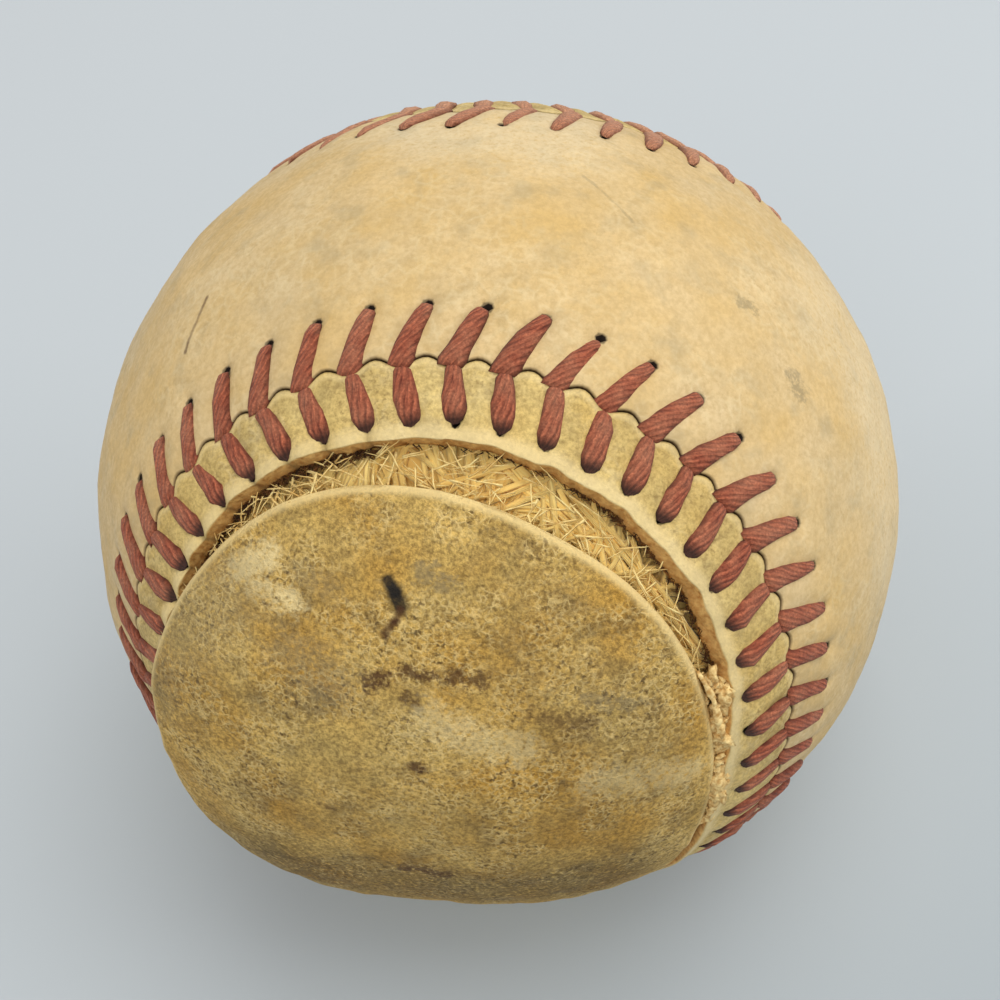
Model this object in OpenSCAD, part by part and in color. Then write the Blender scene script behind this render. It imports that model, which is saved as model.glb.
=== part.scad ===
// Worn baseball: a cushioned cork centre, three wool windings, an outer layer
// of cotton yarn and a two-piece leather cover sewn with pairs of stitches.
// Part of one cover piece is torn free and lifts like a flap about a crease.
// Millimetres and degrees. The origin is the centre of the ball, +Z leaves
// through the waist of the whole cover piece, and the torn lobe faces -Y.

/* [Ball] */
// Diameter over the leather
ball_d = 74; // [72:0.5:100]
// Thickness of the leather
leather_t = 1.3; // [1:0.1:1.8]

/* [Centre] */
// Diameter of the cork core
cork_d = 20.6; // [18:0.2:22]
// Thickness of the two black rubber shells
black_rubber_t = 4; // [3:0.1:4.4]
// Thickness of the red rubber ring between the black shells
ring_t = 1.2; // [0.8:0.1:2]
// Thickness of the red rubber cover of the centre
red_rubber_t = 3.1; // [2:0.1:3.5]

/* [Windings] */
// Share of the wool that is the first winding
first_wool_share = 0.75; // [0.5:0.01:0.8]
// Share of the wool that is the second winding
second_wool_share = 0.12; // [0.08:0.01:0.15]
// Diameter of the cotton yarn in the outer layer
yarn_d = 0.8; // [0.6:0.1:0.9]
// Loops of cotton yarn in the outer layer
yarn_loops = 14; // [10:1:14]
// Angle between each yarn loop and the layer's own equator
yarn_tilt = 49; // [46:1:50]
// Gap between yarn and yarn where two loops cross
yarn_gap = 0.75; // [0.7:0.01:0.9]

/* [Seam] */
// Angle that the seam climbs to on the middle line of each lobe
seam_reach_angle = 66.8; // [62:0.2:68]
// Angle that the seam swings sideways to form the lobes
seam_swing_angle = 22; // [20:0.5:23]
// Gap between the two cover pieces along the seam
butt_gap = 0.2; // [0.1:0.05:0.4]

/* [Stitches] */
// Pairs of stitches round the whole seam
stitch_pairs = 108; // [80:1:116]
// Distance of the stitch holes from the seam
hole_inset = 4.4; // [3.8:0.1:5]
// Width of a stitch at its middle
stitch_w = 1.9; // [1.2:0.1:2.2]
// Height of a stitch over the leather
stitch_h = 0.6; // [0.4:0.05:0.8]
// Length along the seam by which a stitch on the whole piece leans
whole_lean_len = 1.7; // [0:0.1:2.4]
// Length along the seam by which a stitch on the torn piece leans
torn_lean_len = 0.85; // [0:0.05:1.6]

/* [Tear] */
// Width of the sewn strip left of the tear
strip_left_w = 5.4; // [5.2:0.1:6.5]
// Width of the sewn strip above the tear
strip_top_w = 5.9; // [5.2:0.1:7]
// Width of the sewn strip right of the tear
strip_right_w = 6.8; // [5.2:0.1:8]
// Widest gap between the sewn strip and the flap
tear_gap = 3.5; // [1:0.1:6]
// Gap along the sides of the flap, near its crease
side_gap = 0.5; // [0.4:0.1:1.5]
// Angle of the crease that the flap lifts about, below the middle
crease_angle = 46; // [40:1:50]
// Gap between the flap and the leather that it bends from
crease_gap = 0.3; // [0.25:0.05:0.6]
// Height that the left side of the flap stands up over the ball
flap_rise = 2.4; // [0:0.1:3]

/* [Hidden] */

// Clearance between two nested layers
layer_gap = 0.04;
// Clearance between the yarn and the cover over it
cover_gap = 0.3;
// Facets of a full circle on the balls and shells
round_facets = 96;
// Length by which a cutting tool runs past what it cuts
overrun = 10;
// Third and fourth waves that fill out the lobes' corners, in degrees
seam_third_wave_angle = -0.54;
seam_fourth_wave_angle = 1.3;

ball_r = ball_d / 2;
cork_r = cork_d / 2;
black_r = cork_r + black_rubber_t;
red_r = black_r + red_rubber_t;
cover_inner_r = ball_r - leather_t;
half_gap = layer_gap / 2;

// Place of a point on the unit ball
function on_ball(lat, lon) = [
    cos(lat) * cos(lon),
    cos(lat) * sin(lon),
    sin(lat)
];
function unit(v) = v / norm(v);
// Point a share of the way from a to b, on the great circle between them
function between(a, b, share) =
    let (angle = acos(min(1, a * b)))
    angle < 0.001 ? a : (a * sin((1 - share) * angle) + b * sin(share * angle)) / sin(angle);
// Eased step from 0 to 1 as x goes over a span, which is a start and an end
function eased(span, x) =
    let (t = min(1, max(0, (x - span[0]) / (span[1] - span[0]))))
    t * t * (3 - 2 * t);
function blend(a, b, share) = a + (b - a) * share;

// The seam closes after two turns of its parameter
seam_turns_angle = 720;
// One lobe's top lies half way round from the other's
lobe_top_angle = seam_turns_angle / 2;
function seam(a) = on_ball(
    seam_reach_angle * cos(a) + seam_third_wave_angle * cos(3 * a),
    90 + a / 2 + seam_swing_angle * sin(2 * a) + seam_fourth_wave_angle * sin(4 * a)
);
seam_nudge_angle = 0.5;
function seam_side(a) =
    unit(cross(seam(a), seam(a + seam_nudge_angle) - seam(a - seam_nudge_angle)));
// Point at an arc distance beside the seam, positive on the whole piece
function beside_seam(a, distance) =
    let (angle = distance / ball_r * 180 / PI)
    seam(a) * cos(angle) + seam_side(a) * sin(angle);

// A patch of the ball is a list of ribs, each a list of unit vectors
lobe_end_angle = 15;
rib_step_angle = 6;
function rib(left, right, segments) =
    [for (j = [0 : segments]) between(left, right, j / segments)];

// Curved sheet between two radii. spots are unit vectors, cells are the four
// corners of each field, rims go round each edge of the sheet, and rises are
// added to both radii.
module sheet_solid(spots, cells, rims, low_r, high_r, rises) {
    count = len(spots);
    points = [for (r = [high_r, low_r]) for (i = [0 : count - 1]) spots[i] * (r + rises[i])];
    skins = [for (c = cells) each [
        [c[0], c[1], c[3]],
        [c[3], c[1], c[2]],
        [count + c[0], count + c[3], count + c[1]],
        [count + c[3], count + c[2], count + c[1]]
    ]];
    edges = [for (rim = rims) for (k = [0 : len(rim) - 1])
        let (next = rim[(k + 1) % len(rim)])
        [rim[k], next, count + next, count + rim[k]]
    ];
    polyhedron(points, concat(skins, edges));
}

// Cells of a block of ribs, where at(i, j) = first + i * columns + j
function block_cells(rows, columns, first = 0) =
    [for (i = [0 : rows - 2]) for (j = [0 : columns - 2])
        let (at = first + i * columns + j)
        [at, at + 1, at + columns + 1, at + columns]];
function flatten(lists) = [for (list = lists) each list];

// Solid over a patch, from the centre of the ball out to a radius
module patch_cone(ribs, reach) {
    last_row = len(ribs) - 1;
    columns = len(ribs[0]);
    points = [[0, 0, 0], for (r = ribs) for (p = r) p * reach];
    function at(i, j) = 1 + i * columns + j;
    skin = [for (i = [0 : last_row - 1]) for (j = [0 : columns - 2]) each [
        [at(i, j), at(i, j + 1), at(i + 1, j)],
        [at(i + 1, j), at(i, j + 1), at(i + 1, j + 1)]
    ]];
    end_sides = [for (j = [0 : columns - 2]) each
        [[0, at(0, j + 1), at(0, j)], [0, at(last_row, j), at(last_row, j + 1)]]];
    long_sides = [for (i = [0 : last_row - 1]) each
        [[0, at(i, 0), at(i + 1, 0)], [0, at(i + 1, columns - 1), at(i, columns - 1)]]];
    polyhedron(points, concat(skin, end_sides, long_sides));
}

module shell(outer_r, inner_r) {
    difference() {
        sphere(r = outer_r, $fn = round_facets);
        sphere(r = inner_r, $fn = round_facets);
    }
}

module cork_core() {
    color("burlywood") sphere(r = cork_r, $fn = round_facets);
}

// Half of the black rubber shell, open side down at the height of the ring
module black_half() {
    rotate_extrude($fn = round_facets)
        intersection() {
            difference() {
                circle(r = black_r, $fn = round_facets);
                circle(r = cork_r + layer_gap, $fn = round_facets);
            }
            translate([0, ring_t / 2 + half_gap]) square(ball_r);
        }
}

module upper_black_shell() {
    color("dimgray") black_half();
}

module lower_black_shell() {
    color("dimgray") mirror([0, 0, 1]) black_half();
}

module red_ring() {
    color("firebrick")
        rotate_extrude($fn = round_facets)
            intersection() {
                difference() {
                    circle(r = black_r, $fn = round_facets);
                    circle(r = cork_r + layer_gap, $fn = round_facets);
                }
                translate([0, half_gap - ring_t / 2]) square([ball_r, ring_t - layer_gap]);
            }
}

module red_rubber_cover() {
    color("firebrick") shell(red_r, black_r + layer_gap);
}

module first_wool_winding() {
    color("lightgray") shell(first_wool_r, red_r + layer_gap);
}

module second_wool_winding() {
    color("ivory") shell(second_wool_r, first_wool_r + layer_gap);
}

module third_wool_winding() {
    color("lightgray") shell(yarn_seat_r, second_wool_r + layer_gap);
}

// Outer yarn: great loops whose plane turns a little with every loop. The half
// of a loop that climbs runs on the outside and the half that falls runs on the
// inside, so two loops cross only where one lies over the other.
rings_per_half = 12;
rings_per_loop = 2 * rings_per_half;
yarn_sides = 6;
// Share of the ring spacing at which a loop changes between inside and outside
change_share = 0.29;
ring_angle = 180 / (rings_per_half - 1 + 2 * change_share);
// The yarn starts at the top of its first loop
loop_start_angle = 90;
yarn_r = yarn_d / 2;
flat_share = cos(180 / yarn_sides);
yarn_out_r = cover_inner_r - cover_gap - yarn_r;
yarn_in_r = yarn_out_r - yarn_d * flat_share - yarn_gap;
yarn_seat_r = (yarn_in_r - yarn_r) * cos(ring_angle / 2) - layer_gap;

// The wool fills the ball from the rubber centre to the cotton yarn
wool_t = yarn_seat_r - red_r;
first_wool_r = red_r + wool_t * first_wool_share;
second_wool_r = first_wool_r + wool_t * second_wool_share;

// Angle from the top or the bottom of a loop to ring j of that half
function ring_place(j) = (j - (rings_per_half - 1) / 2) * ring_angle;
function yarn_point(k) =
    let (
        half = floor(k / rings_per_half),
        j = k % rings_per_half,
        turn = loop_start_angle + 180 * half + ring_place(j),
        climbing = (half % 2 == 0) == (j < rings_per_half / 2),
        way = turn / yarn_loops,
        r = climbing ? yarn_out_r : yarn_in_r
    )
    r * [
        sin(turn) * sin(yarn_tilt),
        cos(turn) * cos(way) - sin(turn) * cos(yarn_tilt) * sin(way),
        cos(turn) * sin(way) + sin(turn) * cos(yarn_tilt) * cos(way)
    ];

module cotton_yarn() {
    last = rings_per_loop * yarn_loops - 1;
    path = [for (k = [0 : last]) yarn_point(k)];
    rings = [for (k = [0 : last])
        let (
            along = unit(path[min(k + 1, last)] - path[max(k - 1, 0)]),
            side = unit(cross(path[k], along)),
            up = cross(along, side)
        )
        for (s = [0 : yarn_sides - 1])
            path[k] + yarn_r * (cos(360 * s / yarn_sides) * side + sin(360 * s / yarn_sides) * up)
    ];
    walls = [for (k = [0 : last - 1]) for (s = [0 : yarn_sides - 1])
        let (
            a = k * yarn_sides + s,
            b = k * yarn_sides + (s + 1) % yarn_sides
        )
        each [[a, b, a + yarn_sides], [b, b + yarn_sides, a + yarn_sides]]
    ];
    start_cap = [for (s = [1 : yarn_sides - 2]) [0, s + 1, s]];
    end_first = last * yarn_sides;
    end_cap = [for (s = [1 : yarn_sides - 2]) [end_first, end_first + s, end_first + s + 1]];
    echo(least_yarn_gap = least_gap(path) - yarn_d);
    color("wheat") polyhedron(rings, concat(walls, start_cap, end_cap));
}

// Least distance between the middle lines of two stretches of the yarn that
// aren't neighbours, on points spread along each stretch
gap_points = 8;
function least_gap(path) = min([
    for (i = [0 : len(path) - 2])
        for (j = [i + 3 : len(path) - 2])
            if (norm(path[i] + path[i + 1] - path[j] - path[j + 1]) < 2 * norm(path[1] - path[2]))
                for (m = [0 : gap_points])
                    point_to_line(blend(path[i], path[i + 1], m / gap_points), path[j], path[j + 1])
]);
function point_to_line(p, a, b) =
    let (share = min(1, max(0, (p - a) * (b - a) / ((b - a) * (b - a)))))
    norm(p - blend(a, b, share));

// The seam's parameter at the end of one lobe of the whole piece
whole_lobe_angle = 180;

// Ribs across the whole piece, from the end of one lobe to the end of the other
cutter_columns = 4;
function whole_ribs() =
    let (
        edge = butt_gap / 2,
        first = lobe_end_angle + rib_step_angle,
        first_end = [for (j = [0 : cutter_columns])
            beside_seam(whole_lobe_angle + lobe_end_angle * (2 * j / cutter_columns - 1), edge)],
        second_end = [for (j = [0 : cutter_columns])
            beside_seam(whole_lobe_angle - lobe_top_angle
                - lobe_end_angle * (2 * j / cutter_columns - 1), edge)],
        ribs = [for (t = [first : rib_step_angle : lobe_top_angle - first])
            rib(beside_seam(whole_lobe_angle - t, edge), beside_seam(whole_lobe_angle + t, edge),
                cutter_columns)]
    )
    concat([first_end], ribs, [second_end]);

module whole_cover_piece() {
    color("tan")
        intersection() {
            shell(ball_r, cover_inner_r);
            patch_cone(whole_ribs(), ball_r + overrun);
        }
}

// The tear is followed in the seam's own parameter, from half a turn at the foot
// of the lobe over a turn at its top. Each span is where one thing changes.
top_strip_angles = [300, 360];
right_strip_angles = [360, 420];
gap_opens_angles = [278, 378];
gap_closes_angles = [385, 450];
rise_grows_angles = [238, 254];
rise_ends_angles = [284, 314];
function hump(grows, ends, a) = eased(grows, a) * (1 - eased(ends, a));
function strip_w(a) =
    a < lobe_top_angle ? blend(strip_left_w, strip_top_w, eased(top_strip_angles, a))
        : blend(strip_top_w, strip_right_w, eased(right_strip_angles, a));
function flap_inset(a) =
    strip_w(a) + side_gap + (tear_gap - side_gap) * hump(gap_opens_angles, gap_closes_angles, a);
function flap_edge(a) = beside_seam(a, -flap_inset(a));

// Angle of the plane through the X axis that holds a point
function plane_angle(p) = atan2(p[2], -p[1]);
// Point in such a plane, at an angle across the lobe
function in_plane(plane, across) =
    [sin(across), -cos(across) * cos(plane), cos(across) * sin(plane)];

// Seam parameter on the left side of the lobe at which a plane meets it
seam_planes = [for (a = [190 : 2 : 340]) [plane_angle(seam(a)), a]];
function left_seam_at(plane) = lookup(plane, seam_planes);

crease_plane_angle = -crease_angle;
crease_half_gap = crease_gap / 2 / ball_r * 180 / PI;
foot_a = left_seam_at(crease_plane_angle);
foot_across = asin(beside_seam(foot_a, -strip_left_w)[0]);
foot_across_right = asin(beside_seam(seam_turns_angle - foot_a, -strip_right_w)[0]);

// The torn piece runs from its whole lobe to the crease as one block of ribs,
// and goes on as the sewn strip, which leads round the tear and back
strip_columns = 2;
cover_columns = 14;
module torn_cover_piece() {
    edge = -butt_gap / 2;
    foot_plane = crease_plane_angle - crease_half_gap;
    foot_marks = [
        asin(beside_seam(foot_a, edge)[0]),
        foot_across,
        foot_across_right,
        asin(beside_seam(seam_turns_angle - foot_a, edge)[0])
    ];
    middle_columns = cover_columns - 2 * strip_columns;
    foot = [for (j = [0 : cover_columns]) in_plane(foot_plane,
        j < strip_columns ? blend(foot_marks[0], foot_marks[1], j / strip_columns)
        : j <= cover_columns - strip_columns
            ? blend(foot_marks[1], foot_marks[2], (j - strip_columns) / middle_columns)
            : blend(foot_marks[3], foot_marks[2], (cover_columns - j) / strip_columns))];
    block = concat(
        [[for (j = [0 : cover_columns])
            beside_seam(lobe_end_angle * (1 - 2 * j / cover_columns), edge)]],
        [for (a = [lobe_end_angle + rib_step_angle : rib_step_angle : foot_a - rib_step_angle / 2])
            rib(beside_seam(a, edge), beside_seam(-a, edge), cover_columns)],
        [foot]
    );
    first = foot_a + rib_step_angle;
    last = seam_turns_angle - foot_a - rib_step_angle / 2;
    stations = [for (a = [first : rib_step_angle : last]) a];
    strip = [for (a = stations) for (j = [0 : strip_columns])
        beside_seam(a, blend(edge, -strip_w(a), j / strip_columns))];
    rows = len(block);
    columns = cover_columns + 1;
    foot_first = (rows - 1) * columns;
    strip_first = rows * columns;
    width = strip_columns + 1;
    strip_last = strip_first + (len(stations) - 1) * width;
    joints = [for (j = [0 : strip_columns - 1]) each [
        [foot_first + j, foot_first + j + 1, strip_first + j + 1, strip_first + j],
        [strip_last + j, strip_last + j + 1,
            foot_first + cover_columns - j - 1, foot_first + cover_columns - j]
    ]];
    outer_rim = concat(
        [for (j = [0 : cover_columns - 1]) cover_columns - j],
        [for (i = [0 : rows - 1]) i * columns],
        [for (k = [0 : len(stations) - 1]) strip_first + k * width],
        [for (i = [1 : rows - 1]) (rows - i) * columns + cover_columns]
    );
    tear_rim = concat(
        [for (j = [strip_columns : cover_columns - strip_columns]) foot_first + j],
        [for (k = [1 : len(stations)]) strip_last - (k - 1) * width + strip_columns]
    );
    spots = concat(flatten(block), strip);
    cells = concat(
        block_cells(rows, columns),
        block_cells(len(stations), width, strip_first),
        joints
    );
    color("tan") sheet_solid(spots, cells, [outer_rim, tear_rim], cover_inner_r, ball_r,
        [for (p = spots) 0]);
}

// The flap stands up along its left side and comes down again towards its middle
rise_reach = 20;
flap_columns = 14;
module torn_flap() {
    foot_left = asin(beside_seam(foot_a, -flap_inset(foot_a))[0]);
    foot_right = asin(beside_seam(seam_turns_angle - foot_a, -flap_inset(seam_turns_angle - foot_a))[0]);
    first = foot_a + rib_step_angle;
    last = lobe_top_angle - lobe_end_angle - rib_step_angle / 2;
    stations = [for (a = [first : rib_step_angle : last]) a];
    foot = [for (j = [0 : flap_columns])
        in_plane(crease_plane_angle + crease_half_gap, blend(foot_left, foot_right, j / flap_columns))];
    sides = [for (a = stations) rib(flap_edge(a), flap_edge(seam_turns_angle - a), flap_columns)];
    top = [for (j = [0 : flap_columns])
        flap_edge(lobe_top_angle + lobe_end_angle * (2 * j / flap_columns - 1))];
    ribs = concat([foot], sides, [top]);
    left_rises = concat(
        [0],
        [for (a = stations) flap_rise * hump(rise_grows_angles, rise_ends_angles, a)],
        [0]
    );
    rises = [for (i = [0 : len(ribs) - 1]) for (p = ribs[i])
        left_rises[i] * (1 - eased([0, rise_reach], norm(p - ribs[i][0]) * ball_r))];
    columns = flap_columns + 1;
    last_row = len(ribs) - 1;
    rim = concat(
        [for (j = [0 : flap_columns - 1]) flap_columns - j],
        [for (i = [0 : last_row - 1]) i * columns],
        [for (j = [0 : flap_columns - 1]) last_row * columns + j],
        [for (i = [0 : last_row - 1]) (last_row - i) * columns + flap_columns]
    );
    color("darkkhaki") sheet_solid(flatten(ribs), block_cells(last_row + 1, columns), [rim],
        cover_inner_r, ball_r, rises);
}

// Length of the seam up to each sampled value of its parameter
seam_steps = 360;
seam_step = seam_turns_angle / seam_steps;
seam_lengths = [for (i = 0, run = 0; i <= seam_steps;
    run = run + ball_r * norm(seam((i + 1) * seam_step) - seam(i * seam_step)), i = i + 1)
    [run, i * seam_step]];
seam_length = seam_lengths[seam_steps][0];
function seam_at(run) = lookup((run + seam_length) % seam_length, seam_lengths);

// Where the first pair of stitches meets the seam, as a share of their spacing
first_stitch_share = 0.2;
// Place, width and height of the sections of a stitch, from the seam to its hole
section_place_shares = [0, 0.3, 0.7];
section_width_shares = [0.7, 1, 0.9];
section_height_shares = [0.7, 1, 0.9];
// Outline of a section, across and up
section_shares = [[-1, 0], [-0.8, 0.6], [0, 1], [0.8, 0.6], [1, 0]];
stitch_end_gap = 0.15;
module stitch(from, to) {
    base_r = ball_r + layer_gap;
    across = unit(cross(from, to));
    corners = len(section_shares);
    rings = [for (n = [0 : len(section_place_shares) - 1]) for (c = section_shares)
        let (p = between(from, to, section_place_shares[n]))
        p * (base_r + stitch_h * section_height_shares[n] * c[1])
            + across * (stitch_w / 2 * section_width_shares[n] * c[0])
    ];
    last = (len(section_place_shares) - 1) * corners;
    walls = [for (n = [0 : corners : last - 1]) for (c = [0 : corners - 1])
        let (
            a = n + c,
            b = n + (c + 1) % corners
        )
        each [[a, b, a + corners], [b, b + corners, a + corners]]
    ];
    cap = [for (c = [1 : corners - 2]) [0, c + 1, c]];
    tip = [for (c = [0 : corners - 1]) [last + c, last + (c + 1) % corners, len(rings)]];
    polyhedron(concat(rings, [to * base_r]), concat(walls, cap, tip));
}

// Stitches on one side of the seam, side 1 for the whole piece and -1 for the torn
module stitches(side, lean) {
    spacing = seam_length / stitch_pairs;
    for (k = [0 : stitch_pairs - 1]) {
        run = (k + first_stitch_share) * spacing;
        stitch(
            beside_seam(seam_at(run), side * stitch_end_gap),
            beside_seam(seam_at(run + lean), side * hole_inset)
        );
    }
}

module whole_side_stitches() {
    color("indianred") stitches(1, whole_lean_len);
}

module torn_side_stitches() {
    color("indianred") stitches(-1, torn_lean_len);
}

cork_core();
lower_black_shell();
upper_black_shell();
red_ring();
red_rubber_cover();
first_wool_winding();
second_wool_winding();
third_wool_winding();
cotton_yarn();
whole_cover_piece();
torn_cover_piece();
torn_flap();
whole_side_stitches();
torn_side_stitches();
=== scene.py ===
import math

import bmesh
import bpy
import numpy as np
from mathutils import Matrix, Vector


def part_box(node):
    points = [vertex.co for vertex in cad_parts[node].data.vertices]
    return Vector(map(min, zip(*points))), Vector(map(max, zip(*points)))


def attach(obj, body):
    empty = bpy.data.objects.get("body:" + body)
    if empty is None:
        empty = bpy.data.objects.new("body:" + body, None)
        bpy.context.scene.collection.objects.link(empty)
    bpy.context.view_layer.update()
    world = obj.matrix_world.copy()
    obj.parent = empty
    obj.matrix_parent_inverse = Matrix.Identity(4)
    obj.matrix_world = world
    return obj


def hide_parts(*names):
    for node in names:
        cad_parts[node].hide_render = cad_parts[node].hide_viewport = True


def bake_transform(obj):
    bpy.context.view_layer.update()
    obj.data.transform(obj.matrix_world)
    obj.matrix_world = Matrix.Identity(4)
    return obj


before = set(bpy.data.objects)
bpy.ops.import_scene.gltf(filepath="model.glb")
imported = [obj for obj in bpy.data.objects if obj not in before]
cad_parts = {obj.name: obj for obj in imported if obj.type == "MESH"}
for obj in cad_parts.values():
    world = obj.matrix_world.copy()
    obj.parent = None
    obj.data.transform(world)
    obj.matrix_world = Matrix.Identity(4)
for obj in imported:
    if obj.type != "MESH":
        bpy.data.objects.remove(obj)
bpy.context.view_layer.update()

mm = 0.001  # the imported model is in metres, and the sizes here are in millimetres
turns = 720  # the seam closes after two turns of its parameter, in degrees
lobeTop = 360  # the seam's parameter at the top of the torn lobe

ball = {
    "radius": max(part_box("whole_cover_piece")[1]) / mm,
    "leather": 1.3,
    "buttGap": 0.1,  # between the two cover pieces, along the seam
    "wallLevels": [0.12, 0.35, 0.6, 0.82],  # rows of points down the wall of a rim
    "wallTop": 0.35,  # the wall's mask at its top, which reaches 1 at its foot
    "undulation": [(0.09, 11, 1), (0.035, 4, 2), (0.012, 1.6, 3)],  # height, length and seed of each wave
}
ballR = ball["radius"]

seam = {
    "reach": 66.8,
    "thirdWave": -0.54,
    "swing": 22,
    "fourthWave": 1.3,
    "pairs": 108,
    "firstShare": 0.2,
    "holeInset": 4.4,
    "wholeLean": 1.7,
    "tornLean": 0.85,
    "scallop": 0.75,  # how far the torn piece's edge bulges between two stitches
}

tear = {
    "leftWidth": 5.4,
    "topWidth": 5.9,
    "rightWidth": 6.8,
    "gap": 3.5,
    "sideGap": 0.5,
    "rise": 2.4,
    "riseReach": 20,
    "leftSpan": (300, 360),  # this and the spans below are ranges of the seam's parameter
    "rightSpan": (360, 420),
    "narrowing": (600, 700),
    "gapGrows": (278, 378),
    "gapEnds": (385, 450),
    "riseGrows": (238, 254),
    "riseEnds": (284, 314),
    "creaseAngle": -46,
    "bendReach": 3,  # how far the leather bends on each side of the crease
}


# Shape of the seam
def onBall(lat, lon):
    lat, lon = np.radians(lat), np.radians(lon)
    return np.stack([np.cos(lat) * np.cos(lon), np.cos(lat) * np.sin(lon), np.sin(lat)], -1)


def unit(v):
    return v / np.linalg.norm(v, axis=-1, keepdims=True)


def eased(start, stop, x):
    t = np.clip((x - start) / (stop - start), 0, 1)
    return t * t * (3 - 2 * t)


def hump(grows, ends, x):
    return eased(*grows, x) * (1 - eased(*ends, x))


def seamPoint(a):
    a = np.asarray(a, float)
    wave = np.radians(a)
    lat = seam["reach"] * np.cos(wave) + seam["thirdWave"] * np.cos(3 * wave)
    lon = 90 + a / 2 + seam["swing"] * np.sin(2 * wave) + seam["fourthWave"] * np.sin(4 * wave)
    return onBall(lat, lon)


def seamSide(a):
    nudge = 0.5
    return unit(np.cross(seamPoint(a), seamPoint(a + nudge) - seamPoint(a - nudge)))


def besideSeam(a, distance):
    angle = (np.asarray(distance, float) / ballR)[..., None]
    return seamPoint(a) * np.cos(angle) + seamSide(a) * np.sin(angle)


def between(p, q, share):
    angle = np.arccos(np.clip((p * q).sum(-1), -1, 1))[..., None]
    share = np.asarray(share)[..., None]
    return (p * np.sin((1 - share) * angle) + q * np.sin(share * angle)) / np.sin(angle)


seamAngles = np.linspace(0, turns, 2881)
seamSteps = np.linalg.norm(np.diff(seamPoint(seamAngles), axis=0), axis=1) * ballR
seamRuns = np.concatenate([[0], np.cumsum(seamSteps)])
seamLength = seamRuns[-1]
spacing = seamLength / seam["pairs"]


def seamAt(run):
    return np.interp(np.mod(run, seamLength), seamRuns, seamAngles)


# Shape of the tear
def overLobe(left, top, right, leftSpan, a):
    rightSide = top + (right - top) * eased(*tear["rightSpan"], a)
    return np.where(a < lobeTop, left + (top - left) * eased(*leftSpan, a), rightSide)


def stripWidth(a):
    width = overLobe(tear["leftWidth"], tear["topWidth"], tear["rightWidth"], tear["leftSpan"], a)
    return width + (tear["leftWidth"] - width) * eased(*tear["narrowing"], a)


def planeAngle(p):
    return np.degrees(np.arctan2(p[..., 2], -p[..., 1]))


footRange = np.arange(190.0, 340.0, 0.25)
footAngle = np.interp(tear["creaseAngle"], planeAngle(seamPoint(footRange)), footRange)
bendAngle = tear["creaseAngle"] - math.degrees(tear["bendReach"] / ballR)
bendFoot = np.interp(bendAngle, planeAngle(seamPoint(footRange)), footRange)


def flapGap(a):
    near = np.minimum(a, turns - a)
    opening = (tear["gap"] - tear["sideGap"]) * hump(tear["gapGrows"], tear["gapEnds"], a)
    return tear["sideGap"] * eased(footAngle, footAngle + 4, near) + opening


def flapOffset(a):
    return -stripWidth(a) - flapGap(a)


def flapRise(a):
    return tear["rise"] * hump(tear["riseGrows"], tear["riseEnds"], a)


# Smooth noise from a few waves that run in random directions
def waves(points, length, seed, count=14):
    dice = np.random.default_rng(seed)
    ways = unit(dice.normal(size=(count, 3)))
    lengths = length * dice.uniform(0.7, 1.5, count)
    starts = dice.uniform(0, 2 * np.pi, count)
    total = np.zeros(points.shape[:-1])
    for way, size, start in zip(ways, lengths, starts):
        total += np.sin(points @ way * (2 * np.pi / size) + start)
    return total / math.sqrt(count)


# Meshes
def newPiece(name, verts, faces, material, masks=None):
    mesh = bpy.data.meshes.new(name)
    faces = faces.tolist() if isinstance(faces, np.ndarray) else faces
    mesh.from_pydata(np.asarray(verts).tolist(), [], faces)
    for key, values in (masks or {}).items():
        mask = mesh.attributes.new(key, "FLOAT", "POINT")
        mask.data.foreach_set("value", np.asarray(values, np.float32))
    mesh.shade_smooth()
    if material:
        mesh.materials.append(material)
    piece = bpy.data.objects.new(name, mesh)
    bpy.context.scene.collection.objects.link(piece)
    return piece


# Turns each face so that it points the same way as its entry in outward
def facing(points, faces, outward):
    a, b, c = (points[faces[:, k]] for k in range(3))
    wrong = (np.cross(b - a, c - a) * outward).sum(-1) < 0
    faces = faces.copy()
    faces[wrong] = faces[wrong][:, ::-1]
    return faces


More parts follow.
